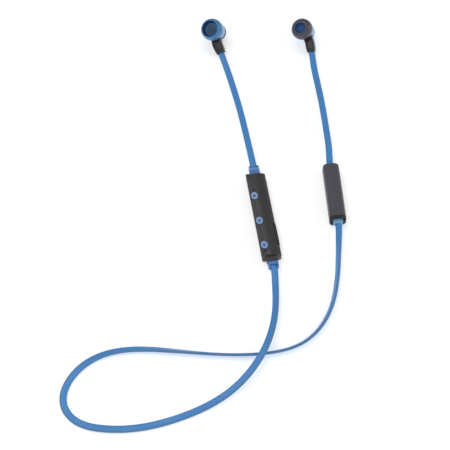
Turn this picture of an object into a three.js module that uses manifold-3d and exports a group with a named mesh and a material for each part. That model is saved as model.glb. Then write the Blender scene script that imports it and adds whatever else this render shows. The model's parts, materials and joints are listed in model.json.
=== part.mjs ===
// Neckband earphones with an in-line remote and a separate battery module,
// laid out on a flat surface. Millimetres, +Z up, the surface is z = 0 and the
// origin is the middle of the footprint. +Y runs from the loop of the neck cord
// towards the two earbuds.
import * as THREE from 'three';
import { mergeVertices } from 'three/addons/utils/BufferGeometryUtils.js';
import Module from 'manifold-3d';

const wasm = await Module();
wasm.setup();
const { degToRad, lerp, smoothstep } = THREE.MathUtils;

const FOOTPRINT_MIDDLE = [-8.485, 7.565, 0];   // subtracted from every position below

// ---------------------------------------------------------------- materials
const standard = (look) => new THREE.MeshStandardMaterial(look);
const cordBlue = standard({ color: 0x3f8fd8, roughness: 0.45 });
const bootBlue = standard({ color: 0x3f7fc8, roughness: 0.5 });
const buttonBlue = standard({ color: 0x7fa8dc, roughness: 0.35 });
const glossBlue = standard({ color: 0x7fb4e2, roughness: 0.18 });
const charcoal = standard({ color: 0x34343a, roughness: 0.5 });
const greyShell = standard({ color: 0x4c4b52, roughness: 0.55 });
const blackRubber = standard({ color: 0x161619, roughness: 0.7 });
const siliconeBlue = standard({ color: 0x2f74b8, roughness: 0.4 });
const siliconeDark = standard({ color: 0x3a3a40, roughness: 0.45 });
const boardGreen = standard({ color: 0x1d5a3a, roughness: 0.5 });
const steel = standard({ color: 0xb9bcc0, roughness: 0.3, metalness: 1 });
const chipBlack = standard({ color: 0x1b1b1d, roughness: 0.5 });
const foil = standard({ color: 0xc9ccd0, roughness: 0.35, metalness: 0.8 });
const foam = standard({ color: 0x2a2a2c, roughness: 0.9 });
const film = standard({ color: 0xd8d2c0, roughness: 0.4 });

// ---------------------------------------------------------------- solids
function toManifold(geometry) {
  const bare = geometry.clone();
  bare.deleteAttribute('normal');
  bare.deleteAttribute('uv');
  const merged = mergeVertices(bare, 1e-5);
  return new wasm.Manifold(new wasm.Mesh({
    numProp: 3,
    vertProperties: new Float32Array(merged.attributes.position.array),
    triVerts: new Uint32Array(merged.index.array),
  }));
}

function toGeometry(manifold) {
  const mesh = manifold.getMesh();
  const geometry = new THREE.BufferGeometry();
  const positions = new Float32Array(mesh.vertProperties);
  geometry.setAttribute('position', new THREE.BufferAttribute(positions, 3));
  geometry.setIndex(new THREE.BufferAttribute(new Uint32Array(mesh.triVerts), 1));
  geometry.computeVertexNormals();
  return geometry;
}

// all parts joined, then every cutter taken away
function solid(parts, cutters = []) {
  const joined = parts.map(toManifold).reduce((sum, part) => sum.add(part));
  return toGeometry(cutters.reduce((rest, cutter) => rest.subtract(toManifold(cutter)), joined));
}

const around = (middle, half) => [middle - half, middle + half];

function box([x0, x1], [y0, y1], [z0, z1]) {
  return new THREE.BoxGeometry(x1 - x0, y1 - y0, z1 - z0)
    .translate((x0 + x1) / 2, (y0 + y1) / 2, (z0 + z1) / 2);
}

// upright cylinder
function rod(radius, [z0, z1], segments, x = 0, y = 0) {
  return new THREE.CylinderGeometry(radius, radius, z1 - z0, segments)
    .rotateX(Math.PI / 2)
    .translate(x, y, (z0 + z1) / 2);
}

function ovalRod([radiusX, radiusY], zRange, segments, x, y) {
  return rod(1, zRange, segments).scale(radiusX, radiusY, 1).translate(x, y, 0);
}

// profile of [radius, z], turned about +Z; one that is off the axis at either end is closed here
function turned(profile, segments) {
  const points = profile.map(([radius, z]) => new THREE.Vector2(radius, z));
  if (points[0].x > 0 || points.at(-1).x > 0) points.push(points[0].clone());
  if (THREE.ShapeUtils.area(points) < 0) points.reverse();
  return new THREE.LatheGeometry(points, segments).rotateX(Math.PI / 2);
}

const outline = (pairs) => new THREE.Shape(pairs.map(([x, y]) => new THREE.Vector2(x, y)));

function roundRect(width, height, radius, cornerSteps) {
  const x = width / 2 - radius;
  const y = height / 2 - radius;
  const points = [];
  for (const [centreX, centreY, start] of [[x, y, 0], [-x, y, 90], [-x, -y, 180], [x, -y, 270]]) {
    for (let i = 0; i <= cornerSteps; i++) {
      const angle = degToRad(start + 90 * i / cornerSteps);
      points.push([centreX + radius * Math.cos(angle), centreY + radius * Math.sin(angle)]);
    }
  }
  return outline(points);
}

// closed outline; a corner with a cutback is replaced by two short facets
function facetted(corners, cutbacks = []) {
  const points = corners.flatMap((pair, i) => {
    const corner = new THREE.Vector2(...pair);
    if (!cutbacks[i]) return [corner];
    const towards = (other) =>
      new THREE.Vector2(...other).sub(corner).setLength(cutbacks[i]).add(corner);
    const before = towards(corners.at(i - 1));
    const after = towards(corners[(i + 1) % corners.length]);
    const middle = before.clone().add(after).multiplyScalar(0.25).addScaledVector(corner, 0.5);
    return [before, middle, after];
  });
  return new THREE.Shape(THREE.ShapeUtils.area(points) < 0 ? points.reverse() : points);
}

// shape carried through stations of { centre, xAxis, yAxis, xScale, yScale }
function swept(shape, stations) {
  const steps = stations.length - 1;
  const geometry = new THREE.ExtrudeGeometry(shape, { depth: steps, steps, bevelEnabled: false });
  const positions = geometry.attributes.position;
  for (let i = 0; i < positions.count; i++) {
    const { centre, xAxis, yAxis, xScale, yScale } = stations[Math.round(positions.getZ(i))];
    const point = centre.clone()
      .addScaledVector(xAxis, positions.getX(i) * xScale)
      .addScaledVector(yAxis, positions.getY(i) * yScale);
    positions.setXYZ(i, point.x, point.y, point.z);
  }
  return geometry;
}

// prism along Y with its section in X and Z; rows of [y, scale x, scale z (as x if left out)].
// It is swept from high y to low y, which turns its faces outwards.
function prism(shape, rows, x = 0) {
  const xAxis = new THREE.Vector3(1, 0, 0);
  const yAxis = new THREE.Vector3(0, 0, 1);
  const stations = [...rows]
    .sort((a, b) => b[0] - a[0])
    .map(([y, xScale, yScale = xScale]) =>
      ({ centre: new THREE.Vector3(x, y, 0), xAxis, yAxis, xScale, yScale }));
  return swept(shape, stations);
}

// ---------------------------------------------------------------- groups
const assembly = new THREE.Group();
const earphones = new THREE.Group();
earphones.position.set(...FOOTPRINT_MIDDLE).negate();
assembly.add(earphones);

function addPiece(parent, name, geometry, material) {
  const mesh = new THREE.Mesh(geometry, material);
  mesh.name = name;
  parent.add(mesh);
}

function addFrame(centre, yAxis, zAxis) {
  const group = new THREE.Group();
  const xAxis = new THREE.Vector3().crossVectors(yAxis, zAxis);
  group.quaternion.setFromRotationMatrix(new THREE.Matrix4().makeBasis(xAxis, yAxis, zAxis));
  group.position.set(...centre);
  earphones.add(group);
  return group;
}

// a module lies level, its own +Y turned `heading` degrees from +X towards +Y
function addModuleFrame({ centre, heading }) {
  const angle = degToRad(heading);
  const yAxis = new THREE.Vector3(Math.cos(angle), Math.sin(angle), 0);
  return addFrame(centre, yAxis, new THREE.Vector3(0, 0, 1));
}

// a bud's own +Z points out of its nozzle, its own -Y down its stem
function addBudFrame({ centre, nozzle, stem }) {
  const zAxis = new THREE.Vector3(...nozzle).normalize();
  const down = new THREE.Vector3(...stem);
  down.addScaledVector(zAxis, -down.dot(zAxis)).normalize();
  return addFrame(centre, down.negate(), zAxis);
}

// ---------------------------------------------------------------- flat cords
const CORD = { width: 3.45, thickness: 1.55, chamfer: 0.5 };
// rounded cord end: [distance beyond the last point in half widths, width scale]
const CORD_END = [[1.0, 0.12], [0.92, 0.39], [0.7, 0.71], [0.38, 0.925]];

// centre lines: x, y, z and the tilt of the flat face (degrees, to the left of travel)
const NECK_CORD = [   // remote to battery module
  [24.62, -30.14, 3.20, 0], [24.77, -37.11, 3.30, -22], [24.80, -44.69, 3.55, -33],
  [24.37, -52.33, 4.00, -33], [23.26, -59.92, 4.60, -27], [21.36, -67.34, 5.15, -20],
  [18.66, -74.41, 5.38, -12], [15.12, -80.97, 5.03, -7], [10.75, -86.96, 4.15, -4],
  [5.65, -92.31, 3.05, -1], [-0.10, -96.98, 2.09, 2], [-6.38, -100.98, 1.47, 3],
  [-13.03, -104.42, 1.11, 4], [-19.93, -107.39, 0.98, 4], [-26.99, -109.92, 0.98, 4],
  [-34.18, -111.91, 0.98, 4], [-41.50, -113.25, 0.98, 4], [-48.94, -113.84, 0.99, 3],
  [-56.48, -113.57, 1.00, 3], [-64.03, -112.26, 0.98, 3], [-70.74, -108.99, 0.96, 2],
  [-75.30, -103.32, 0.96, 2], [-76.45, -96.39, 0.96, 1], [-74.37, -89.26, 0.97, 2],
  [-69.97, -82.82, 1.01, 5], [-64.16, -77.94, 1.13, 11], [-57.48, -74.75, 1.34, 19],
  [-50.27, -72.98, 1.47, 25], [-42.84, -72.34, 1.53, 28], [-35.33, -72.49, 1.63, 33],
  [-27.82, -73.10, 1.74, 40], [-20.35, -73.85, 1.85, 49], [-12.92, -74.57, 1.92, 57],
  [-5.52, -75.16, 1.94, 61], [1.90, -75.50, 1.95, 63], [9.37, -75.49, 1.95, 63],
  [16.91, -75.01, 1.95, 63], [24.49, -73.92, 1.96, 63], [31.74, -71.88, 1.97, 63],
  [38.26, -68.49, 1.98, 63], [43.73, -63.62, 1.98, 63], [48.13, -57.60, 2.01, 64],
  [51.44, -50.83, 2.11, 64], [53.71, -43.69, 2.28, 63], [55.15, -36.31, 2.53, 62],
  [56.14, -28.84, 2.84, 61], [56.71, -21.39, 3.18, 57], [57.23, -13.91, 3.50, 48],
  [57.77, -4.53, 3.90, 30],
];
const LEFT_CORD = [   // left earbud to remote
  [-1.56, 109.84, 2.70, -14], [1.11, 100.66, 2.37, -9], [3.52, 91.49, 2.20, -2],
  [5.76, 82.33, 2.15, 5], [7.82, 73.15, 2.20, 10], [9.66, 63.90, 2.35, 13],
  [11.33, 54.62, 2.60, 12], [12.96, 45.38, 2.90, 8], [14.40, 36.69, 3.20, 0],
];
const RIGHT_CORD = [   // right earbud to battery module
  [48.52, 110.78, 2.70, -14], [49.27, 101.74, 2.37, -8], [50.48, 92.79, 2.25, -1],
  [51.68, 83.85, 2.25, 6], [52.71, 74.89, 2.35, 10], [53.53, 65.86, 2.60, 13],
  [54.23, 56.81, 2.95, 13], [54.82, 47.77, 3.40, 9], [54.85, 37.23, 3.90, 0],
];

function cordSection() {
  const x = CORD.width / 2;
  const y = CORD.thickness / 2;
  const edge = CORD.chamfer;
  return outline([[x, -y + edge], [x, y - edge], [x - edge, y], [-x + edge, y],
    [-x, y - edge], [-x, -y + edge], [-x + edge, -y], [x - edge, -y]]);
}

function cordStation(centre, forward, tilt, xScale) {
  const angle = degToRad(tilt);
  const left = new THREE.Vector3().crossVectors(new THREE.Vector3(0, 0, 1), forward).normalize();
  const level = new THREE.Vector3().crossVectors(forward, left).normalize();
  const yAxis = level.multiplyScalar(Math.cos(angle)).addScaledVector(left, Math.sin(angle));
  const xAxis = new THREE.Vector3().crossVectors(yAxis, forward);
  return { centre, xAxis, yAxis, xScale, yScale: 1 };
}

function cord(points, stepsPerSpan) {
  const places = points.map(([x, y, z]) => new THREE.Vector3(x, y, z));
  const curve = new THREE.CatmullRomCurve3(places, false, 'catmullrom', 0.5);
  const spans = points.length - 1;
  const steps = Math.round(spans * stepsPerSpan);
  // both ends run level
  const startForward = curve.getTangent(0).setZ(0).normalize();
  const endForward = curve.getTangent(1).setZ(0).normalize();

  const endStation = (t, forward, side, [distance, scale]) => cordStation(
    curve.getPoint(t).addScaledVector(forward, side * distance * CORD.width / 2),
    forward, points[t * spans][3], scale);
  const stations = CORD_END.map((row) => endStation(0, startForward, -1, row));
  for (let i = 0; i <= steps; i++) {
    const t = i / steps;
    const span = Math.min(spans - 1, Math.floor(t * spans));
    const tilt = lerp(points[span][3], points[span + 1][3], t * spans - span);
    let forward = curve.getTangent(t);
    if (i === 0) forward = startForward;
    if (i === steps) forward = endForward;
    stations.push(cordStation(curve.getPoint(t), forward, tilt, 1));
  }
  stations.push(...CORD_END.toReversed().map((row) => endStation(1, endForward, 1, row)));
  return swept(cordSection(), stations);
}

// ---------------------------------------------------------------- in-line remote
// Section and hollow are [x, z]: flat button face on top, two facets falling away
// to the right (+X), sides drawn in towards the underside.
const REMOTE = {
  centre: [19.41, 3.26, 3.20], heading: 98.7, length: 50.4, endWall: 0.9,
  section: [[-5.2, 3.2], [0, 3.2], [3.1, 2.7], [5.15, 1.6], [5.0, -3.2], [-4.6, -3.2]],
  cutbacks: [0.3, 0, 0, 0.5, 0.6, 0.6],
  hollow: [[-4.3, 2.4], [0, 2.4], [2.6, 2.0], [2.9, 1.7], [2.9, -2.4], [-3.75, -2.4]],
  frontSeam: -1.10, rearSeam: -1.35,   // z of the facing edges of the two shells
};
const REMOTE_END = REMOTE.length / 2;
const BOOT = {   // lengths along Y are from the end face of the remote
  x: 0.1, end: 6.3, width: 5.4, thickness: 3.4, slotDepth: 1.7,
  neck: [1.55, 0.85], neckClearance: 0.3, flange: [2.3, 1.6],   // half sizes in x and z
};
const COLLAR = { length: 2.6, width: 6.0, thickness: 3.9, radius: 0.8 };
const BOARD = { x: [-3.65, 2.6], y: [-23.0, 23.0], z: [-0.1, 0.5] };
const BOARD_HOLES = { radius: 0.5, places: [[-2.6, 22.3], [1.8, 22.3], [1.8, -22.3]] };
const PART_BASE = 0.58;         // underside of the parts on the board
const BUTTONS = [['volume_up', 11.0], ['multifunction', -4.4], ['volume_down', -19.15]];
const BUTTON = {                // radii in x and y
  x: -2.8, cap: [1.78, 2.25], hole: [1.9, 2.4], flange: [1.78, 2.68], base: 1.8, top: 3.75,
};
const MICROPHONE = { x: -2.4, y: 15.2, holeY: 15.0 };
const LED_Y = -22.55;
const LED_LENS = [[0, 0.7], [0.85, 0.7], [0.85, 1.0], [0.6, 1.0], [0.6, 3.1], [0.45, 3.18],
  [0, 3.18]];                   // [radius, z]
const USB = { y: -12.7, z: -1.275, mouthX: 3.6, depth: 5.0, width: 7.5, height: 2.15 };
const COVER = { x: 4.0, z: -0.4, thickness: 1.4, length: 12.6, height: 4.5, gap: 0.25, bevel: 0.8 };

function remoteBody() {
  const shell = prism(facetted(REMOTE.section, REMOTE.cutbacks), [[-REMOTE_END, 0.965, 0.955],
    [-REMOTE_END + 0.3, 1], [REMOTE_END - 0.3, 1], [REMOTE_END, 0.965, 0.955]]);
  const collarEnd = -REMOTE_END - COLLAR.length;
  const collar = prism(roundRect(COLLAR.width, COLLAR.thickness, COLLAR.radius, 2),
    [[collarEnd, 0.97], [collarEnd + 0.25, 1], [-REMOTE_END + 0.6, 1]], BOOT.x);
  return solid([shell, collar]);
}

function addRemoteShells(group) {
  const inside = REMOTE_END - REMOTE.endWall;
  const neckX = around(BOOT.x, BOOT.neck[0] + BOOT.neckClearance);
  const neckZ = around(0, BOOT.neck[1] + BOOT.neckClearance);
  // the recess for the cover is open to the right and upwards, the port is in its floor
  const openings = [
    prism(facetted(REMOTE.hollow), [[-inside, 1], [inside, 1]]),
    box(neckX, [REMOTE_END - 2, REMOTE_END + 2], neckZ),
    box(neckX, [-REMOTE_END - 4, -REMOTE_END + 2], neckZ),
    box([COVER.x - COVER.gap, 7], around(USB.y, COVER.length / 2 + COVER.gap),
      [COVER.z - COVER.height / 2 - COVER.gap, 5]),
    box([2, 7], around(USB.y, USB.width / 2 + 0.3), [-2.45, 0.02]),
  ];
  const faceHoles = [
    ...BUTTONS.map(([, y]) => ovalRod(BUTTON.hole, [1, 5], 28, BUTTON.x, y)),
    rod(0.45, [1, 5], 14, MICROPHONE.x, MICROPHONE.holeY),
    rod(0.75, [1, 5], 16, BUTTON.x, LED_Y),
  ];
  const body = remoteBody();
  const below = box(around(0, 9), around(0, 40), [-9, REMOTE.frontSeam]);
  const above = box(around(0, 9), around(0, 40), [REMOTE.rearSeam, 9]);
  addPiece(group, 'remote_front_shell', solid([body], [below, ...openings, ...faceHoles]), charcoal);
  addPiece(group, 'remote_rear_shell', solid([body], [above, ...openings]), charcoal);
}

function addMainBoard(group) {
  const holes = BOARD_HOLES.places.map(([x, y]) => rod(BOARD_HOLES.radius, [-1, 1], 12, x, y));
  const board = box(BOARD.x, BOARD.y, BOARD.z);
  addPiece(group, 'main_circuit_board', solid([board], holes), boardGreen);
}

// key with a dished top and an oval flange, above its switch and plunger
function addButton(group, name, y) {
  const { x, base, top } = BUTTON;
  const key = turned([[0, 1.65], [0.36, 1.65], [0.36, base], [1, base], [1, top - 0.4],
    [0.94, top - 0.12], [0.78, top], [0.56, top - 0.04], [0.4, top - 0.3], [0, top - 0.42]], 24)
    .scale(...BUTTON.cap, 1)
    .translate(x, y, 0);
  const flange = ovalRod(BUTTON.flange, [base, 2.12], 24, x, y);
  addPiece(group, `${name}_button`, solid([key, flange]), buttonBlue);
  const body = box([x - 0.85, x + 1.45], around(y, 1.5), [PART_BASE, 1.4]);
  const well = ovalRod([0.8, 0.95], [0.78, 2], 16, x, y);
  addPiece(group, `${name}_switch`, solid([body], [well]), steel);
  addPiece(group, `${name}_switch_plunger`, rod(0.55, [1.15, 1.6], 16, x, y), chipBlack);
}

function addBoardParts(group) {
  const chip = box([-0.6, 2.4], [0.6, 6.6], [PART_BASE, 1.5]);
  const cornerDot = rod(0.25, [1.4, 2], 10, -0.1, 6.1);
  addPiece(group, 'bluetooth_chip', solid([chip], [cornerDot]), chipBlack);
  addPiece(group, 'chip_antenna', box([-0.4, 1.2], [18.4, 21.2], [PART_BASE, 1.4]), film);
  const can = rod(1.05, [PART_BASE, 1.7], 20, MICROPHONE.x, MICROPHONE.y);
  const canHole = rod(0.35, [1.4, 2], 10, MICROPHONE.x, MICROPHONE.holeY);
  addPiece(group, 'microphone', solid([can], [canHole]), steel);
  addPiece(group, 'status_led_lens', turned(LED_LENS, 16).translate(BUTTON.x, LED_Y, 0), film);
}

function addChargingSocket(group) {
  const { y, z, mouthX, depth, width, height } = USB;
  const shell = box([mouthX - depth, mouthX], around(y, width / 2), around(z, height / 2));
  const inside = box([mouthX - depth + 0.6, mouthX + 1], around(y, width / 2 - 0.35),
    around(z, height / 2 - 0.3));
  addPiece(group, 'charging_socket', solid([shell], [inside]), steel);
}

// rubber door over the socket: rounded +Y end, a plug into the mouth and a notch at the -Y end
function addUsbCover(group) {
  const { x, z, thickness, length, height, bevel } = COVER;
  const outerX = x + thickness;
  const [bottom, top] = around(z, height / 2);
  const lowEnd = USB.y - length / 2;
  const roundY = USB.y + length / 2 - thickness / 2;
  const section = facetted([[x, top], [outerX - 0.45, top], [outerX, top - bevel],
    [outerX, bottom], [x, bottom]]);
  const plate = prism(section, [[lowEnd, 1], [roundY, 1]]);
  const roundEnd = rod(thickness / 2, [bottom, top - bevel], 20, x + thickness / 2, roundY);
  const plug = box([USB.mouthX - 0.4, x + 0.1], around(USB.y, 3.05), around(USB.z, 0.475));
  const notch = box([outerX - 0.35, outerX + 1], [lowEnd - 1, lowEnd + 0.9], [z - 1.2, z + 1.0]);
  addPiece(group, 'usb_cover', solid([plate, roundEnd, plug], [notch]), blackRubber);
}

// strain relief: block outside, neck through the wall, flange inside; the outer end
// is slotted from above, so that the cord lies between two horns
function addRemoteBoot(group, name, side, start) {
  const { x, end, neck, flange } = BOOT;
  const place = (distance) => side * (REMOTE_END + distance);
  const slab = (halfX, from, to, zRange) =>
    box(around(x, halfX), [place(from), place(to)].sort((a, b) => a - b), zRange);
  const rows = [[start, 0.97], [start + 0.35, 1], [end - 0.9, 1], [end - 0.35, 0.96], [end, 0.86]];
  const block = prism(roundRect(BOOT.width, BOOT.thickness, 0.7, 2),
    rows.map(([distance, scale]) => [place(distance), scale]), x);
  const parts = [
    block,
    slab(neck[0], -1.4, start + 0.3, around(0, neck[1])),
    slab(flange[0], -1.95, -1.15, around(0, flange[1])),
  ];
  const slot = slab(1.8, end - BOOT.slotDepth, end + 1, [-0.95, 3]);
  addPiece(group, name, solid(parts, [slot]), bootBlue);
}

function addRemote() {
  const group = addModuleFrame(REMOTE);
  addRemoteShells(group);
  addMainBoard(group);
  BUTTONS.forEach(([name, y]) => addButton(group, name, y));
  addBoardParts(group);
  addChargingSocket(group);
  addUsbCover(group);
  addRemoteBoot(group, 'remote_upper_boot', 1, 0.25);
  addRemoteBoot(group, 'remote_lower_boot', -1, COLLAR.length + 0.25);
}

// ---------------------------------------------------------------- battery module
const BATTERY = {
  centre: [56.28, 16.85, 3.90], heading: 94.0,
  width: 8.5, depth: 7.8, length: 34.0, radius: 2.4, wall: 0.8,
};
const GROMMET = { width: 3.3, thickness: 1.8, clearance: 0.25 };

function addBattery() {
  const group = addModuleFrame(BATTERY);
  const high = BATTERY.length / 2;
  const low = -high;
  const insideWidth = BATTERY.width - 2 * BATTERY.wall;
  const insideDepth = BATTERY.depth - 2 * BATTERY.wall;
  const insideRadius = BATTERY.radius - BATTERY.wall;

  // sleeve, open at its low end and with a slot for the grommet at its high end
  const body = prism(roundRect(BATTERY.width, BATTERY.depth, BATTERY.radius, 5),
    [[low, 0.975, 0.97], [low + 0.25, 1], [high - 1.5, 1], [high - 0.85, 0.975],
      [high - 0.35, 0.92], [high - 0.1, 0.86], [high, 0.80]]);
  const hollow = prism(roundRect(insideWidth, insideDepth, insideRadius, 4),
    [[low - 1, 1], [high - 1.8, 1], [high - 1.0, 0.9]]);
  const slot = box(around(0, GROMMET.width / 2 + GROMMET.clearance), [8, 30],
    around(0, GROMMET.thickness / 2 + GROMMET.clearance));
  addPiece(group, 'battery_sleeve', solid([body], [hollow, slot]), greyShell);

  const cap = prism(roundRect(insideWidth - 0.3, insideDepth - 0.3, insideRadius - 0.1, 4),
    [[low + 0.4, 1], [low + 1.9, 1]]);
  const capHole = prism(roundRect(5.5, 3.9, 1.3, 3), [[low - 1, 1], [low + 4, 1]]);
  addPiece(group, 'battery_end_cap', solid([cap], [capHole]), blackRubber);

  const boot = prism(roundRect(5.0, 3.4, 1.2, 3),
    [[low - 2.2, 0.78], [low - 1.8, 0.93], [low - 1.2, 1], [low + 2.6, 1]]);
  const bootFlange = prism(roundRect(5.8, 4.4, 1.2, 3), [[low + 2.2, 1], [low + 3.0, 1]]);
  addPiece(group, 'battery_lower_boot', solid([boot, bootFlange]), bootBlue);

  const grommet = prism(roundRect(GROMMET.width, GROMMET.thickness, 0.5, 2),
    [[high - 1.8, 1], [high + 0.8, 1], [high + 1.2, 0.85]]);
  const grommetFlange = prism(roundRect(4.4, 2.8, 0.6, 2), [[high - 2.4, 1], [high - 1.3, 1]]);
  addPiece(group, 'battery_upper_grommet', solid([grommet, grommetFlange]), blackRubber);

  const cell = prism(roundRect(5.9, 4.6, 0.9, 3),
    [[-9.6, 0.97], [-9.2, 1], [12.9, 1], [13.3, 0.97]]);
  addPiece(group, 'lithium_cell', cell, foil);
  const board = box(around(0, 2.5), [-13.2, -10.0], around(0, 0.4));
  addPiece(group, 'protection_board', board, boardGreen);
  addPiece(group, 'cell_foam_pad', box(around(0, 2.2), [-7, 10], [2.4, 2.9]), foam);
}

// ---------------------------------------------------------------- earbuds
// turned profiles of [radius, z]
const FRONT_HOUSING = [[3.5, 6.5], [3.5, 2.0], [4.3, 1.75], [4.85, 1.2], [5.0, 0.5],
  [5.0, -1.85], [4.35, -1.85], [4.35, 0.8], [2.9, 1.2], [2.9, 6.5]];
const REAR_HOUSING = [[0, -6.15], [2.4, -6.12], [3.8, -5.92], [4.3, -5.4], [4.7, -4.4],
  [4.95, -3.2], [5.0, -2.1], [4.35, -2.1], [4.3, -3.2], [4.0, -4.4], [3.6, -5.1], [0, -5.4]];
const NOZZLE_MESH = [[0, 6.62], [3.3, 6.62], [3.3, 6.85], [0, 6.92]];
const DRIVER_FRAME = [[4.05, 0.5], [4.05, -1.5], [2.6, -1.5], [2.6, -0.9], [3.6, -0.9],
  [3.6, 0.5]];
const DRIVER_MAGNET = [[0, -2.6], [2.1, -2.6], [2.3, -2.4], [2.3, -0.75], [0, -0.75]];
const DIAPHRAGM = [[0, 0.35], [1.2, 0.28], [2.3, -0.02], [3.4, 0.2], [3.4, -0.05],
  [2.3, -0.27], [1.2, 0.03], [0, 0.1]];
const WIDE_TIP = [[4.3, 8.38], [4.75, 8.5], [5.3, 8.05], [5.85, 6.9], [6.12, 5.4], [6.15, 4.5],
  [6.0, 3.4], [5.75, 2.7], [5.3, 2.75], [5.5, 3.6], [5.6, 4.8], [5.45, 6.0], [5.0, 7.1],
  [4.7, 7.2], [4.35, 6.2], [4.35, 2.35], [3.8, 2.35], [3.8, 7.2]];
const NARROW_TIP = [[2.75, 8.25], [3.2, 8.55], [4.2, 8.3], [5.1, 7.5], [5.75, 6.3],
  [5.95, 5.0], [5.9, 3.9], [5.6, 2.8], [5.15, 2.85], [5.4, 3.9], [5.4, 5.0], [5.15, 6.1],
  [4.75, 6.8], [4.45, 6.5], [4.35, 5.8], [4.35, 2.35], [3.8, 2.35], [3.8, 7.15],
  [2.85, 7.3], [2.65, 7.8]];

// nozzle and stem are directions; stem places are in the bud's own frame, and stem
// width (x) and depth (z) are given at its start and at its end
const EARBUDS = [
  {
    side: 'left', centre: [-5.50, 123.80, 8.60],
    nozzle: [-0.3752, -0.4794, 0.7933], stem: [0.3937, -0.8572, -0.3318],
    stemX: -2.30, stemEnd: 12.77, stemZ: -0.51, stemWidth: [6.0, 5.2], stemDepth: [4.6, 4.4],
    tip: WIDE_TIP, tipMaterial: siliconeBlue, rearMaterial: charcoal,
  },
  {
    side: 'right', centre: [44.49, 124.47, 8.00],
    nozzle: [-0.3710, -0.4456, 0.8147], stem: [0.1476, -0.8945, -0.4220],
    stemX: 1.63, stemEnd: 12.45, stemZ: -0.85, stemWidth: [5.3, 4.8], stemDepth: [4.7, 4.5],
    tip: NARROW_TIP, tipMaterial: siliconeDark, rearMaterial: glossBlue,
  },
];
const STEM_START = 2.0;
// [fraction of the stem's length, scale]; the steps near the end form a collar
const STEM_ROWS = [[0, 1], [0.12, 1], [0.3, 1], [0.5, 1], [0.72, 1], [0.84, 1], [0.86, 0.93],
  [0.97, 0.93], [1, 0.86]];
const STEM_SECTION = { points: 20, power: 0.62 };   // superellipse; a power of 1 is an ellipse
const STEM_CLEARANCE = 0.25;

// superellipse of unit width and height
function stemSection() {
  const half = (value) => Math.sign(value) * Math.abs(value) ** STEM_SECTION.power / 2;
  return outline(Array.from({ length: STEM_SECTION.points }, (_, i) => {
    const angle = i / STEM_SECTION.points * Math.PI * 2;
    return [half(Math.cos(angle)), half(Math.sin(angle))];
  }));
}

// stem along -Y, moving sideways to its full x offset on the way
function stemBody(bud, grow) {
  const xAxis = new THREE.Vector3(1, 0, 0);
  const yAxis = new THREE.Vector3(0, 0, 1);
  return swept(stemSection(), STEM_ROWS.map(([fraction, scale]) => {
    const distance = STEM_START + (bud.stemEnd - STEM_START) * fraction;
    const x = bud.stemX * (0.62 + 0.38 * smoothstep(distance, 3, 8));
    return {
      centre: new THREE.Vector3(x, -distance, bud.stemZ), xAxis, yAxis,
      xScale: lerp(...bud.stemWidth, fraction) * scale + 2 * grow,
      yScale: lerp(...bud.stemDepth, fraction) * scale + 2 * grow,
    };
  }));
}

function addEarbud(bud) {
  const group = addBudFrame(bud);
  const add = (name, geometry, material) =>
    addPiece(group, `${bud.side}_${name}`, geometry, material);
  const stemRoom = stemBody(bud, STEM_CLEARANCE);
  add('front_housing', solid([turned(FRONT_HOUSING, 36)], [stemRoom]), glossBlue);
  add('rear_housing', solid([turned(REAR_HOUSING, 36)], [stemRoom]), bud.rearMaterial);
  add('stem', solid([stemBody(bud, 0)], [rod(4.5, [-9, 9], 36)]), blackRubber);
  add('nozzle_mesh', turned(NOZZLE_MESH, 28), glossBlue);
  add('driver_frame', turned(DRIVER_FRAME, 20), steel);
  add('driver_magnet', turned(DRIVER_MAGNET, 20), steel);
  add('diaphragm', turned(DIAPHRAGM, 20), film);
  add('ear_tip', turned(bud.tip, 30), bud.tipMaterial);
}

// ---------------------------------------------------------------- assembly
addPiece(earphones, 'neck_cord', cord(NECK_CORD, 1.8), cordBlue);
addPiece(earphones, 'left_ear_cord', cord(LEFT_CORD, 1.5), cordBlue);
addPiece(earphones, 'right_ear_cord', cord(RIGHT_CORD, 1.5), cordBlue);
addRemote();
addBattery();
EARBUDS.forEach(addEarbud);

export default assembly;
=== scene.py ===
# Wireless in-ear headphones on a neck cord: an in-line remote, a battery module and two earbuds,
# joined by flat cords and laid out on a floor. The row frame is in metres with +Z up. Pieces are
# modelled in millimetres in the frame of their own module, and place() turns them into the row frame.
#   remote: +Y towards the volume-up button, +Z out of the buttons, charging socket open to +X
#   battery: +Y towards the ear cord, from the protection board to the cell
#   earbud: +Z out through the ear tip, stem running towards -Y
import json
import math

import bmesh
import bpy
import numpy as np
from mathutils import Matrix, Vector


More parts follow.
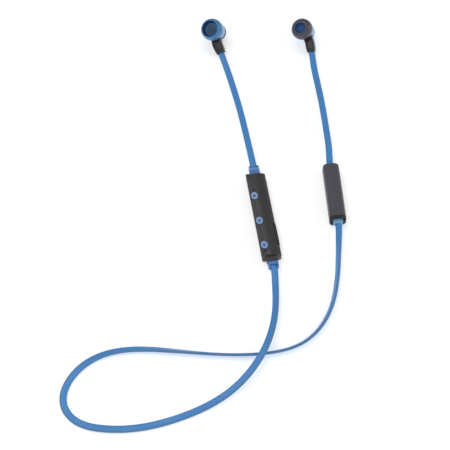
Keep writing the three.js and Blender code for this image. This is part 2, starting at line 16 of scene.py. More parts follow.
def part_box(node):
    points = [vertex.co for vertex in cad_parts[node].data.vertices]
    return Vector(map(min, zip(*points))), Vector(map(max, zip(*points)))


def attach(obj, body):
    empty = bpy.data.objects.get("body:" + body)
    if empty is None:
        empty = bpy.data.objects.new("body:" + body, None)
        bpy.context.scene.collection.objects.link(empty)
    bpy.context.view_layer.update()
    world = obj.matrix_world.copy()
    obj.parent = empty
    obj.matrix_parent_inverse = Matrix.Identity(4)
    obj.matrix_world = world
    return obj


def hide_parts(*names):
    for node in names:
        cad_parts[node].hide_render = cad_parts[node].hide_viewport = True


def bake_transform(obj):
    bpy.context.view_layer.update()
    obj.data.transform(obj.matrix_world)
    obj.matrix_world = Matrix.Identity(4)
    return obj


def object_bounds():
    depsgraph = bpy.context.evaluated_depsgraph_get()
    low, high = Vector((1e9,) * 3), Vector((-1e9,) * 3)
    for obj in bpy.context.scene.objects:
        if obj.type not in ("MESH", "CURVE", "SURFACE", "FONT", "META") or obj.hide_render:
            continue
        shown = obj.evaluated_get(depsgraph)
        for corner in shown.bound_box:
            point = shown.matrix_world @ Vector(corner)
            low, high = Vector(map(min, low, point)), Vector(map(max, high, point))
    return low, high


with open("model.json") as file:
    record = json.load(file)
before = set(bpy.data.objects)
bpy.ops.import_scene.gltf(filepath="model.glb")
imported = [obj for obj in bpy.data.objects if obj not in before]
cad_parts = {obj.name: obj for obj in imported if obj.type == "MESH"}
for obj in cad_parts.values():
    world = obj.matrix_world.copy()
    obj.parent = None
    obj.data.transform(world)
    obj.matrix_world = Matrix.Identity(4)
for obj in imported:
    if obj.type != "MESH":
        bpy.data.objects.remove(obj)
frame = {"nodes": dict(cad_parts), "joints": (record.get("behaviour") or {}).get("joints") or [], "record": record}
cad_lo, cad_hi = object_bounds()
NODES = frame["nodes"]
JOINTS = {j["name"]: j for j in frame["joints"]}
MOUNTS = {m["name"]: m for m in frame["record"]["mounts"]}
scene = bpy.context.scene
MM = 0.001   # metres in a millimetre

# ------------------------------------------------------------------ driving sizes, millimetres
# buttons: shared x, y of each, and the z of the middle of the CAD button
BUTTON_X = -2.8
BUTTON_Y = {"volume_up": 11.0, "multifunction": -4.4, "volume_down": -19.15}
BUTTON_Z = 2.70

REMOTE_HALF = 25.2    # half the length of the remote's shell
BATTERY_HALF = 17.0   # half the length of the battery sleeve
CORD_X = 0.1          # x at which the cords enter the remote
COLLAR = 2.6          # collar on the remote's -Y end, under the lower boot
BOOT_END = 6.3        # outer end of a remote boot, from the end of the shell
BOOT_SLOT = 1.7       # depth of the open slot in that end

CORD_WIDTH, CORD_THICKNESS = 3.45, 1.55
CORD_ROUND = 8.8      # way round the cord section, as its texture takes it


# ------------------------------------------------------------------ module frames
def middle(name):
    lo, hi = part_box(name)
    return (Vector(lo) + Vector(hi)) / 2


def basis(origin, y, z):
    """4x4 from millimetres in a module's frame to metres in the row frame."""
    z = Vector(z).normalized()
    y = Vector(y)
    y = (y - z * y.dot(z)).normalized()
    x = y.cross(z)
    m = Matrix((x, y, z)).transposed().to_4x4()
    m.translation = Vector(origin)
    return m @ Matrix.Scale(MM, 4)


def bud_frame(side, stem):
    """An earbud's frame. stem is the way its stem runs, in the row frame."""
    magnet_low = 0.0026   # metres from the magnet's lowest point along Z up to the origin
    z = Vector(JOINTS[f"{side}_tip_pull"]["axis"]).normalized()
    points = np.array([v.co for v in NODES[f"{side}_driver_magnet"].data.vertices], float)
    centre = Vector(points.mean(0))
    low = float((points @ np.array(z)).min())
    origin = centre + z * (low + magnet_low - centre.dot(z))
    return basis(origin, -Vector(stem), z)


REMOTE = basis(
    middle("multifunction_button"),
    middle("volume_up_button") - middle("volume_down_button"),
    -Vector(JOINTS["multifunction_press"]["axis"]),
) @ Matrix.Translation((-BUTTON_X, -BUTTON_Y["multifunction"], -BUTTON_Z))

battery_y = (middle("lithium_cell") - middle("protection_board")).normalized()
CELL_OFFSET = 0.00185   # metres from the battery frame's origin to the middle of the cell
BATTERY = basis(
    middle("lithium_cell") - battery_y * CELL_OFFSET,
    battery_y,
    -Vector(MOUNTS["battery_back"]["axis"]),
)

# stem: x and z of its middle, its length along -Y, and its width and depth as (root, end)
BUDS = {
    "left": dict(
        frame=bud_frame("left", (0.3937, -0.8572, -0.3318)),
        stem_x=-2.30, stem_z=-0.51, stem_end=12.77, width=(6.0, 5.2), depth=(4.6, 4.4),
    ),
    "right": dict(
        frame=bud_frame("right", (0.1476, -0.8945, -0.4220)),
        stem_x=1.63, stem_z=-0.85, stem_end=12.45, width=(5.3, 4.8), depth=(4.7, 4.5),
    ),
}


# ------------------------------------------------------------------ outlines
def smoothstep(t):
    return t * t * (3 - 2 * t)


def superellipse(angle, half_width, half_depth, power):
    c, s = math.cos(angle), math.sin(angle)
    return (half_width * math.copysign(abs(c) ** power, c),
            half_depth * math.copysign(abs(s) ** power, s))


def rounded(points, radius, closed=False, n=4):
    """A polyline with its corners turned into curves. radius is a number or one for each corner."""
    points = [np.array(p, float) for p in points]
    out = []
    count = len(points)
    for i, p in enumerate(points):
        r = radius[i] if isinstance(radius, (list, tuple)) else radius
        if (not closed and i in (0, count - 1)) or r <= 0:
            out.append(tuple(p))
            continue
        before, after = points[i - 1], points[(i + 1) % count]
        len_before, len_after = np.linalg.norm(before - p), np.linalg.norm(after - p)
        start = p + (before - p) / len_before * min(r, 0.46 * len_before)
        end = p + (after - p) / len_after * min(r, 0.46 * len_after)
        for k in range(n + 1):
            t = k / n
            out.append(tuple((1 - t) ** 2 * start + 2 * t * (1 - t) * p + t * t * end))
    return out


def rect_ring(width, height, radius, y, dx=0.0, corner=6, flat=3):
    """A rounded rectangle in the X Z plane; corner and flat set the points on each."""
    r = max(0.02, min(radius, width / 2 - 0.01, height / 2 - 0.01))
    x, z = width / 2 - r, height / 2 - r
    corners = [(x, z, 0), (-x, z, 90), (-x, -z, 180), (x, -z, 270)]

    def on_corner(c, degrees):
        a = math.radians(degrees)
        return corners[c][0] + r * math.cos(a), corners[c][1] + r * math.sin(a)

    points = []
    for c in range(4):
        start = corners[c][2]
        points += [on_corner(c, start + 90 * i / corner) for i in range(corner + 1)]
        last, following = points[-1], on_corner((c + 1) % 4, start + 90)
        for i in range(1, flat + 1):
            t = i / (flat + 1)
            points.append(tuple(p * (1 - t) + q * t for p, q in zip(last, following)))
    return [(x + dx, y, z) for x, z in points]


def scaled_rings(size, rows, **shape):
    """Rounded rectangles of one size (width, height, radius), scaled by each row's (y, scale)."""
    return [rect_ring(*(v * k for v in size), y, **shape) for y, k in rows]


def quarter_round(radius, steps=5):
    """(distance from the end, inset) round a softened end, from the end inwards."""
    angles = [math.radians(90 * k / steps) for k in range(steps + 1)]
    return [(radius * (1 - math.cos(a)), radius * (1 - math.sin(a))) for a in angles]


# ------------------------------------------------------------------ bodies
def new_object(name, verts, faces, materials=()):
    me = bpy.data.meshes.new(name)
    me.from_pydata([tuple(map(float, v)) for v in verts], [], [tuple(map(int, f)) for f in faces])
    me.update()
    ob = bpy.data.objects.new(name, me)
    scene.collection.objects.link(ob)
    for m in materials:
        me.materials.append(m)
    return ob


def outward(verts, faces):
    """The faces, turned over if they enclose a negative volume."""
    v = np.array(verts, float)
    volume = 0.0
    for f in faces:
        for i in range(1, len(f) - 1):
            volume += np.dot(v[f[0]], np.cross(v[f[i]], v[f[i + 1]]))
    return faces if volume >= 0 else [tuple(reversed(f)) for f in faces]


def loft(rings, name="part", materials=()):
    """A closed body through rings of equal point count."""
    n = len(rings[0])
    verts = [p for r in rings for p in r]
    faces = []
    for i in range(len(rings) - 1):
        for j in range(n):
            k = (j + 1) % n
            faces.append((i * n + j, i * n + k, (i + 1) * n + k, (i + 1) * n + j))
    first = tuple(reversed(range(n)))
    last = tuple((len(rings) - 1) * n + j for j in range(n))
    return new_object(name, verts, outward(verts, faces + [first, last]), materials)


def lathe(profile, seg=96, closed=False, name="part", materials=()):
    """profile of (radius, z); radius 0 is the axis. closed joins the last point to the first."""
    verts, rows = [], []
    for r, z in profile:
        count = 1 if r < 1e-6 else seg
        rows.append([len(verts) + i for i in range(count)])
        if count == 1:
            verts.append((0, 0, z))
        else:
            verts += [(r * math.cos(2 * math.pi * i / seg), r * math.sin(2 * math.pi * i / seg), z)
                      for i in range(seg)]
    pairs = list(zip(rows, rows[1:])) + ([(rows[-1], rows[0])] if closed else [])
    faces = []
    for a, b in pairs:
        for i in range(seg):
            j = (i + 1) % seg
            if len(a) == 1:
                faces.append((a[0], b[j], b[i]))
            elif len(b) == 1:
                faces.append((a[i], a[j], b[0]))
            else:
                faces.append((a[i], a[j], b[j], b[i]))
    ob = new_object(name, verts, outward(verts, faces), materials)
    use_second_slot(ob, lambda p: False)   # gives the mesh its material_index attribute
    return ob


def bar(width, height, radius, y0, y1, end=0.25, end1=None, dx=0.0, corner=6, steps=5,
        name="part"):
    """A rounded rectangular bar along Y, its ends softened by end at y0 and end1 at y1."""
    end1 = end if end1 is None else end1
    rows = [(y0 + along, inset) for along, inset in quarter_round(end, steps)]
    rows += [(y1 - along, inset) for along, inset in reversed(quarter_round(end1, steps))]
    return loft([rect_ring(width - 2 * inset, height - 2 * inset, radius - inset, y, dx, corner)
                 for y, inset in rows], name)


def block(x0, x1, y0, y1, z0, z1, radius=0.0):
    """A box, with its edges bevelled where radius is not 0."""
    verts = [(x, y, z) for x in (x0, x1) for y in (y0, y1) for z in (z0, z1)]
    faces = [(0, 1, 3, 2), (4, 6, 7, 5), (0, 4, 5, 1), (2, 3, 7, 6), (0, 2, 6, 4), (1, 5, 7, 3)]
    ob = new_object("part", verts, outward(verts, faces))
    if radius:
        bevel(ob, radius, segments=3, angle=30)
    return ob


def rod(radius, z0, z1, x=0.0, y=0.0, seg=48):
    """A cylinder along Z."""
    angles = [2 * math.pi * i / seg for i in range(seg)]
    return loft([[(x + radius * math.cos(a), y + radius * math.sin(a), z) for a in angles]
                 for z in (z0, z1)])


# ------------------------------------------------------------------ work on a body
def bake(ob):
    """The object's modifiers become its mesh."""
    depsgraph = bpy.context.evaluated_depsgraph_get()
    me = bpy.data.meshes.new_from_object(
        ob.evaluated_get(depsgraph), preserve_all_data_layers=True, depsgraph=depsgraph)
    ob.modifiers.clear()
    old = ob.data
    ob.data = me
    me.name = ob.name
    bpy.data.meshes.remove(old)
    return ob


def boolean(ob, cutters, operation="DIFFERENCE"):
    """Applies the cutters in turn and removes them."""
    for c in cutters:
        m = ob.modifiers.new("boolean", "BOOLEAN")
        m.object = c
        m.operation = operation
        m.solver = "EXACT"
    bpy.context.view_layer.update()
    bake(ob)
    for c in cutters:
        bpy.data.objects.remove(c)
    return ob


def bevel(ob, width, segments, angle):
    m = ob.modifiers.new("bevel", "BEVEL")
    m.width = width
    m.segments = segments
    m.limit_method = "ANGLE"
    m.angle_limit = math.radians(angle)
    m.use_clamp_overlap = True
    m.miter_outer = "MITER_ARC"
    bpy.context.view_layer.update()
    return bake(ob)


def tidy(ob):
    """Joins points that coincide and drops what has no face."""
    gap = 1e-4
    bm = bmesh.new()
    bm.from_mesh(ob.data)
    bmesh.ops.remove_doubles(bm, verts=bm.verts, dist=gap)
    bmesh.ops.dissolve_degenerate(bm, edges=bm.edges, dist=gap)
    loose = [v for v in bm.verts if not v.link_faces]
    bmesh.ops.delete(bm, geom=loose, context="VERTS")
    bm.to_mesh(ob.data)
    bm.free()


def merge(name, parts):
    """Several closed bodies, each with its materials, as one piece."""
    bm = bmesh.new()
    materials = []
    for part in parts:
        slots = []
        for m in part.data.materials:
            if m not in materials:
                materials.append(m)
            slots.append(materials.index(m))
        n = len(bm.faces)
        bm.from_mesh(part.data)
        bm.faces.ensure_lookup_table()
        for f in bm.faces[n:]:
            f.material_index = slots[f.material_index]
    me = bpy.data.meshes.new(name)
    bm.to_mesh(me)
    bm.free()
    for part in parts:
        bpy.data.objects.remove(part)
    ob = bpy.data.objects.new(name, me)
    scene.collection.objects.link(ob)
    for m in materials:
        me.materials.append(m)
    return ob


def set_materials(ob, *materials):
    ob.data.materials.clear()
    for m in materials:
        ob.data.materials.append(m)


def use_second_slot(ob, test):
    """Faces that pass the test take the second material, the others the first."""
    slots = [1 if test(p) else 0 for p in ob.data.polygons]
    ob.data.polygons.foreach_set("material_index", np.array(slots, np.int32))


def smooth(ob, angle):
    me = ob.data
    me.polygons.foreach_set("use_smooth", [True] * len(me.polygons))
    me.set_sharp_from_angle(angle=math.radians(angle))
    me.update()


def place(ob, matrix, body, material=None, angle=40):
    """It stands for the CAD piece that has its name without "_fine"."""
    if material is not None:
        set_materials(ob, material)
    smooth(ob, angle)
    ob.data.transform(matrix)
    ob.data.update()
    # flats stay flat in the shading where they meet a rounded edge
    m = ob.modifiers.new("weighted", "WEIGHTED_NORMAL")
    m.mode = "FACE_AREA"
    m.weight = 60
    m.keep_sharp = True
    bpy.context.view_layer.update()
    bake(ob)
    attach(ob, body)
    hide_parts(ob.name.removesuffix("_fine"))


# ------------------------------------------------------------------ material tools
def srgb(r, g, b):
    def linear(c):
        c /= 255
        return c / 12.92 if c <= 0.04045 else ((c + 0.055) / 1.055) ** 2.4
    return (linear(r), linear(g), linear(b), 1.0)


def darker(colour, share):
    return tuple(c * share for c in colour[:3]) + (1,)


class Mat:
    """A Principled material whose colour, roughness and bump are driven by masks from 0 to 1."""

    def __init__(self, name, colour, roughness, metallic=0.0):
        self.material = bpy.data.materials.new(name)
        self.material.use_nodes = True
        self.tree = self.material.node_tree
        self.shader = self.tree.nodes["Principled BSDF"]
        self.set(Base_Color=colour, Roughness=roughness, Metallic=metallic)
        self.material.diffuse_color = colour
        self.colour = colour
        self.coord = self.node("ShaderNodeTexCoord")
        # the last output of each chain
        self.tinted = None
        self.rough = None
        self.normal = None

    def set(self, **inputs):
        """Sets shader inputs, with _ for each space in their names."""
        for k, v in inputs.items():
            self.shader.inputs[k.replace("_", " ")].default_value = v

    def node(self, kind, **values):
        n = self.tree.nodes.new(kind)
        for k, v in values.items():
            if k in n.inputs:
                n.inputs[k].default_value = v
            else:
                setattr(n, k, v)
        return n

    def link(self, output, socket):
        self.tree.links.new(output, socket)

    def noise(self, scale, detail=3.0, stretch=None, source="Object", rough=0.55):
        n = self.node("ShaderNodeTexNoise", Scale=scale, Detail=detail, Roughness=rough)
        coordinates = self.coord.outputs[source]
        if stretch is not None:
            mapping = self.node("ShaderNodeMapping", Scale=stretch)
            self.link(coordinates, mapping.inputs["Vector"])
            coordinates = mapping.outputs["Vector"]
        self.link(coordinates, n.inputs["Vector"])
        return n.outputs["Fac"]

    def remap(self, mask, low, high, start, end):
        """low to high as the mask goes from start to end."""
        n = self.node("ShaderNodeMapRange",
                      **{"From Min": start, "From Max": end, "To Min": low, "To Max": high})
        self.link(mask, n.inputs["Value"])
        return n.outputs["Result"]

    def tint(self, mask, colour, amount, start=0.35, end=0.65):
        """Mixes another colour in by the mask."""
        mix = self.node("ShaderNodeMix", data_type="RGBA")
        self.link(self.remap(mask, 0.0, amount, start, end), mix.inputs["Factor"])
        if self.tinted is None:
            mix.inputs["A"].default_value = self.colour
        else:
            self.link(self.tinted, mix.inputs["A"])
        mix.inputs["B"].default_value = colour
        self.tinted = next(s for s in mix.outputs if s.type == "RGBA")
        self.link(self.tinted, self.shader.inputs["Base Color"])

    def vary(self, mask, low, high, start=0.35, end=0.65):
        """Roughness from the mask; a second call adds to the first."""
        out = self.remap(mask, low, high, start, end)
        if self.rough is not None:
            add = self.node("ShaderNodeMath", operation="ADD")
            self.link(self.rough, add.inputs[0])
            self.link(out, add.inputs[1])
            out = add.outputs[0]
        self.rough = out
        self.link(out, self.shader.inputs["Roughness"])

    def bump(self, mask, height):
        """Bump of a height in millimetres, on top of any earlier one."""
        n = self.node("ShaderNodeBump", Strength=1.0, Distance=height * MM)
        self.link(mask, n.inputs["Height"])
        if self.normal is not None:
            self.link(self.normal, n.inputs["Normal"])
        self.normal = n.outputs["Normal"]
        self.link(self.normal, self.shader.inputs["Normal"])


# ------------------------------------------------------------------ materials
def plastic(name, rgb, roughness, grain, scale, worn=None, **inputs):
    """Grained plastic. grain is its height in mm, worn the rgb of rubbed convex edges."""
    colour = srgb(*rgb)
    m = Mat(name, colour, roughness)
    fine = m.noise(scale=scale, detail=2)
    wide = m.noise(scale=160)
    dark = darker(colour, 0.72)
    m.tint(wide, dark, amount=0.20)
    m.tint(fine, dark, amount=0.10)
    m.vary(wide, low=roughness - 0.05, high=roughness + 0.05)
    m.bump(fine, height=grain)
    if worn:
        convex = m.node("ShaderNodeNewGeometry").outputs["Pointiness"]
        m.tint(convex, srgb(*worn), amount=0.5, start=0.52, end=0.60)
    m.set(**inputs)
    return m.material


def cord_material():
    m = Mat("cord_blue_tpe", srgb(70, 144, 212), roughness=0.42)
    # u runs along the cord and v round it, in millimetres
    streak = m.noise(scale=1.0, stretch=(0.05, 2.6, 1), source="UV")
    patch = m.noise(scale=1.0, detail=2, stretch=(0.06, 0.12, 1), source="UV")
    fine = m.noise(scale=1.0, detail=2, stretch=(7, 9, 1), source="UV")
    m.tint(patch, srgb(52, 120, 196), amount=0.35)
    m.tint(streak, srgb(88, 158, 224), amount=0.28)
    # the two narrow edges are painted greyer than the faces: painted shade and sheen of edges turned from the
    # light
    separate = m.node("ShaderNodeSeparateXYZ")
    m.link(m.coord.outputs["UV"], separate.inputs["Vector"])
    turn = m.node("ShaderNodeMath", operation="MULTIPLY")
    turn.inputs[1].default_value = 2 * math.pi / CORD_ROUND
    m.link(separate.outputs["Y"], turn.inputs[0])
    wave = m.node("ShaderNodeMath", operation="COSINE")
    m.link(turn.outputs[0], wave.inputs[0])
    edge = m.node("ShaderNodeMath", operation="ABSOLUTE")
    m.link(wave.outputs[0], edge.inputs[0])
    # painted shade and sheen on the narrow edges
    m.tint(edge.outputs[0], srgb(86, 124, 162), amount=0.85, start=0.66, end=0.95)
    m.vary(patch, low=0.36, high=0.46)
    m.vary(fine, low=-0.03, high=0.03)
    m.bump(streak, height=0.018)
    m.bump(fine, height=0.008)
    m.set(Subsurface_Weight=0.08, Subsurface_Scale=0.0006, Sheen_Weight=0.15, Sheen_Roughness=0.4,
          Subsurface_Radius=(0.3, 0.6, 1.0))
    return m.material


def silicone(name, rgb, deep, rough, scatter, radius):
    """Soft tip material; deep is the rgb of its darker patches, scatter its subsurface weight."""
    m = Mat(name, srgb(*rgb), rough)
    wide = m.noise(scale=300)
    fine = m.noise(scale=7000, detail=2)
    m.tint(wide, srgb(*deep), amount=0.35)
    m.vary(wide, low=rough - 0.05, high=rough + 0.06)
    m.vary(fine, low=-0.03, high=0.03)
    m.bump(fine, height=0.004)
    m.set(Subsurface_Weight=scatter, Subsurface_Scale=0.001, Coat_Weight=0.15,
          Coat_Roughness=0.2, Subsurface_Radius=radius)
    return m.material


def gloss_material():
    m = Mat("housing_blue", srgb(120, 176, 222), roughness=0.16)
    wide = m.noise(scale=220)
    fine = m.noise(scale=5200)
    scratch = m.noise(scale=1400, detail=5, stretch=(1, 6, 1))
    m.tint(wide, srgb(84, 142, 196), amount=0.30)
    m.vary(wide, low=0.13, high=0.20)
    m.vary(scratch, low=0.0, high=0.06, start=0.55, end=0.75)
    m.bump(fine, height=0.0012)
    m.set(Coat_Weight=0.5, Coat_Roughness=0.06, Subsurface_Weight=0.06, Subsurface_Scale=0.0008)
    return m.material


def steel_material():
    colour = srgb(186, 189, 194)
    m = Mat("plain_steel", colour, roughness=0.3, metallic=1.0)
    brushed = m.noise(scale=2600, detail=4, stretch=(1, 14, 1))
    wide = m.noise(scale=400)
    m.tint(wide, darker(colour, 0.7), amount=0.4)
    m.vary(brushed, low=0.22, high=0.42)
    m.bump(brushed, height=0.002)
    return m.material


def board_material():
    """Circuit board: the tracks are hard-edged stretched noise, made once for colour, once for bump."""
    tracks = dict(scale=900, detail=2, stretch=(3, 0.4, 1))
    m = Mat("board_green", srgb(24, 84, 56), roughness=0.38)
    m.tint(m.noise(**tracks), srgb(40, 112, 74), amount=0.8, start=0.48, end=0.52)
    m.tint(m.noise(scale=4200, detail=2), srgb(16, 60, 40), amount=0.3)
    m.vary(m.noise(scale=500), low=0.32, high=0.46)
    m.bump(m.noise(**tracks), height=0.01)
    m.set(Coat_Weight=0.3, Coat_Roughness=0.2)
    return m.material


def foam_material():
    m = Mat("foam_dark", srgb(44, 44, 46), roughness=0.92)
    cell = m.node("ShaderNodeTexVoronoi", Scale=4200.0)
    m.link(m.coord.outputs["Object"], cell.inputs["Vector"])
    m.tint(cell.outputs["Distance"], srgb(20, 20, 22), amount=0.7, start=0.1, end=0.6)
    m.bump(cell.outputs["Distance"], height=0.04)
    return m.material


def foil_material():
    m = Mat("cell_foil", srgb(196, 199, 204), roughness=0.34, metallic=0.85)
    crease = m.noise(scale=900, detail=4, rough=0.7)
    m.tint(m.noise(scale=250), srgb(150, 154, 160), amount=0.5)
    m.vary(crease, low=0.26, high=0.44)
    m.bump(crease, height=0.03)
    return m.material


def film_material():
    m = Mat("film", srgb(214, 208, 190), roughness=0.35)
    ripple = m.noise(scale=2200)
    m.tint(m.noise(scale=700), srgb(190, 182, 160), amount=0.5)
    m.vary(ripple, low=0.28, high=0.42)
    m.bump(ripple, height=0.004)
    m.set(Transmission_Weight=0.25, IOR=1.45)
    return m.material


CORD = cord_material()
CHARCOAL = plastic("charcoal_shell", rgb=(59, 58, 59), roughness=0.44, grain=0.010, scale=7500,
                   worn=(96, 95, 102))
GREY = plastic("grey_shell", rgb=(80, 78, 87), roughness=0.46, grain=0.010, scale=7500,
               worn=(112, 110, 120))
RUBBER = plastic("black_rubber", rgb=(30, 30, 33), roughness=0.55, grain=0.008, scale=6000,
                 worn=(62, 60, 66))
STEM = plastic("stem_rubber", rgb=(40, 39, 43), roughness=0.34, grain=0.004, scale=5200,
               worn=(84, 80, 90))
REAR_CUP = plastic("rear_cup", rgb=(54, 56, 60), roughness=0.36, grain=0.006, scale=7500,
                   worn=(90, 92, 98))
BOOT = plastic("boot_blue", rgb=(88, 132, 198), roughness=0.42, grain=0.006, scale=6000,
               worn=(136, 178, 226))
BOOT_LIGHT = plastic("boot_pale_blue", rgb=(120, 172, 214), roughness=0.42, grain=0.006,
                     scale=6000, worn=(156, 200, 232))
KEY = plastic("button_blue", rgb=(146, 176, 216), roughness=0.30, grain=0.003, scale=6000,
              worn=(166, 192, 228))
# painted shade for the keys' dished middle and their sides below the rim
KEY_PAINTED_SHADE = plastic("button_painted_shade", rgb=(72, 112, 172), roughness=0.34, grain=0.003, scale=6000)
GLOSS = gloss_material()
TIP_BLUE = silicone("silicone_blue", rgb=(62, 128, 180), deep=(38, 96, 150), rough=0.33,
                    scatter=0.25, radius=(0.3, 0.6, 1.0))
TIP_DARK = silicone("silicone_dark", rgb=(74, 71, 80), deep=(52, 50, 60), rough=0.38,
                    scatter=0.1, radius=(0.6, 0.5, 0.5))
LINER = plastic("mouth_liner", rgb=(25, 62, 112), roughness=0.4, grain=0.003, scale=6000)
WIRE = plastic("mesh_wire", rgb=(88, 122, 156), roughness=0.34, grain=0.002, scale=9000,
               Metallic=0.4)
WIRE_BLUE = plastic("mesh_wire_blue", rgb=(78, 120, 190), roughness=0.34, grain=0.002,
                    scale=9000, Metallic=0.4)
GRILLE = plastic("mesh_backing", rgb=(38, 66, 100), roughness=0.6, grain=0.004, scale=9000)
STEEL = steel_material()
CHIP = plastic("chip_black", rgb=(28, 28, 31), roughness=0.5, grain=0.004, scale=9000)
BOARD = board_material()
FOAM = foam_material()
FOIL = foil_material()
FILM = film_material()
SMOKED = plastic("smoked_lens", rgb=(48, 47, 50), roughness=0.18, grain=0.001, scale=6000)

# ------------------------------------------------------------------ flat cords
# Centre lines as x, y, z in mm and the tilt of the flat face in degrees. They are measured with
# the remote's lower cord joint at ANCHOR; SHIFT takes them to where the row frame has that joint.
ANCHOR = np.array([24.62, -30.14, 3.20])
SHIFT = np.array(JOINTS["remote_cord_flex"]["pos_m"]) * 1000 - ANCHOR
NECK_CORD = [   # remote to battery module
    (24.62, -30.14, 3.20, 0), (24.77, -37.11, 3.30, -22), (24.80, -44.69, 3.55, -33),
    (24.37, -52.33, 4.00, -33), (23.26, -59.92, 4.60, -27), (21.36, -67.34, 5.15, -20),
    (18.66, -74.41, 5.38, -12), (15.12, -80.97, 5.03, -7), (10.75, -86.96, 4.15, -4),
    (5.65, -92.31, 3.05, -1), (-0.10, -96.98, 2.09, 2), (-6.38, -100.98, 1.47, 3),
    (-13.03, -104.42, 1.11, 4), (-19.93, -107.39, 0.98, 4), (-26.99, -109.92, 0.98, 4),
    (-34.18, -111.91, 0.98, 4), (-41.50, -113.25, 0.98, 4), (-48.94, -113.84, 0.99, 3),
    (-56.48, -113.57, 1.00, 3), (-64.03, -112.26, 0.98, 3), (-70.74, -108.99, 0.96, 2),
    (-75.30, -103.32, 0.96, 2), (-76.45, -96.39, 0.96, 1), (-74.37, -89.26, 0.97, 2),
    (-69.97, -82.82, 1.01, 5), (-64.16, -77.94, 1.13, 11), (-57.48, -74.75, 1.34, 19),
    (-50.27, -72.98, 1.47, 25), (-42.84, -72.34, 1.53, 28), (-35.33, -72.49, 1.63, 33),
    (-27.82, -73.10, 1.74, 40), (-20.35, -73.85, 1.85, 49), (-12.92, -74.57, 1.92, 57),
    (-5.52, -75.16, 1.94, 61), (1.90, -75.50, 1.95, 63), (9.37, -75.49, 1.95, 63),
    (16.91, -75.01, 1.95, 63), (24.49, -73.92, 1.96, 63), (31.74, -71.88, 1.97, 63),
    (38.26, -68.49, 1.98, 63), (43.73, -63.62, 1.98, 63), (48.13, -57.60, 2.01, 64),
    (51.44, -50.83, 2.11, 64), (53.71, -43.69, 2.28, 63), (55.15, -36.31, 2.53, 62),
    (56.14, -28.84, 2.84, 61), (56.71, -21.39, 3.18, 57), (57.23, -13.91, 3.50, 48),
    (57.77, -4.53, 3.90, 30),
]
LEFT_CORD = [   # left earbud to remote
    (-1.56, 109.84, 2.70, -14), (1.11, 100.66, 2.37, -9), (3.52, 91.49, 2.20, -2),
    (5.76, 82.33, 2.15, 5), (7.82, 73.15, 2.20, 10), (9.66, 63.90, 2.35, 13),
    (11.33, 54.62, 2.60, 12), (12.96, 45.38, 2.90, 8), (14.40, 36.69, 3.20, 0),
]
RIGHT_CORD = [   # right earbud to battery module
    (48.52, 110.78, 2.70, -14), (49.27, 101.74, 2.37, -8), (50.48, 92.79, 2.25, -1),
    (51.68, 83.85, 2.25, 6), (52.71, 74.89, 2.35, 10), (53.53, 65.86, 2.60, 13),
    (54.23, 56.81, 2.95, 13), (54.82, 47.77, 3.40, 9), (54.85, 37.23, 3.90, 0),
]
STATION_STEP = 0.6   # mm between stations of a finished cord


def centre_line(points, per=24):
    """A Catmull-Rom curve through the points, moved to the row frame, in millimetres."""
    p = np.array(points, float)
    p[:, :3] += SHIFT
    p = np.vstack([2 * p[0] - p[1], p, 2 * p[-1] - p[-2]])
    out = []
    for i in range(1, len(p) - 2):
        p0, p1, p2, p3 = p[i - 1:i + 3]
        t0, t1 = 0.5 * (p2 - p0), 0.5 * (p3 - p1)
        for k in range(per):
            t = k / per
            q = ((2 * t**3 - 3 * t**2 + 1) * p1 + (t**3 - 2 * t**2 + t) * t0
                 + (-2 * t**3 + 3 * t**2) * p2 + (t**3 - t**2) * t1)
            q[3] = p1[3] * (1 - t) + p2[3] * t   # the tilt goes straight
            out.append(q)
    out.append(p[-2].copy())
    return np.array(out)


def unit(v):
    return v / np.linalg.norm(v, axis=-1, keepdims=True)


def local_point(matrix, x, y, z):
    """A point of a module in the row frame, in millimetres."""
    return np.array(matrix @ Vector((x, y, z))) * 1000


def y_axis(matrix):
    return np.array((matrix.to_3x3() @ Vector((0, 1, 0))).normalized())


def lead_in(line, inside, direction, tilt, steps=16, handle=0.4):
    """Starts the cord at a point inside its boot, leaving it along direction with this tilt."""
    end = line[0, :3]
    reach = np.linalg.norm(end - inside)
    a = inside + unit(direction) * reach * handle
    b = end + unit(line[0, :3] - line[2, :3]) * reach * handle
    rows = []
    for k in range(steps):
        t = k / steps
        q = ((1 - t) ** 3 * inside + 3 * t * (1 - t) ** 2 * a + 3 * t * t * (1 - t) * b
             + t**3 * end)
        s = smoothstep(t)
        rows.append([*q, tilt * (1 - s) + line[0, 3] * s])
    return np.vstack([np.array(rows), line])


def lead_out(line, inside, direction, tilt):
    """The same at the cord's last station."""
    return lead_in(line[::-1], inside, direction, tilt)[::-1]


def resample(line):
    """Even stations along the line, with the tilt evened out where its rate changes."""
    steps = np.linalg.norm(np.diff(line[:, :3], axis=0), axis=1)
    along = np.concatenate([[0], np.cumsum(steps)])
    even = np.linspace(0, along[-1], int(round(along[-1] / STATION_STEP)) + 1)
    out = np.stack([np.interp(even, along, line[:, k]) for k in range(4)], 1)
    weights = np.array([1, 2, 3, 4, 3, 2, 1], float)
    weights /= weights.sum()
    tilt = np.concatenate([np.full(3, out[0, 3]), out[:, 3], np.full(3, out[-1, 3])])
    out[:, 3] = np.convolve(tilt, weights, "valid")
    return out


def cord_section(n=40, power=2 / 3.6):
    """A flat pillow, its long edges rounded, with a faint crown on both faces."""
    return np.array([superellipse(2 * math.pi * (i + 0.5) / n, CORD_WIDTH / 2,
                                  CORD_THICKNESS / 2, power) for i in range(n)])


def cord_axes(line):
    """At each station, the ways across the flat face and out of it."""
    along = unit(np.gradient(line[:, :3], axis=0))
    sideways = unit(np.cross(np.array([0, 0, 1.0]), along))
    upright = np.cross(along, sideways)
    tilt = np.radians(line[:, 3])[:, None]
    out = upright * np.cos(tilt) + sideways * np.sin(tilt)
    return np.cross(out, along), out


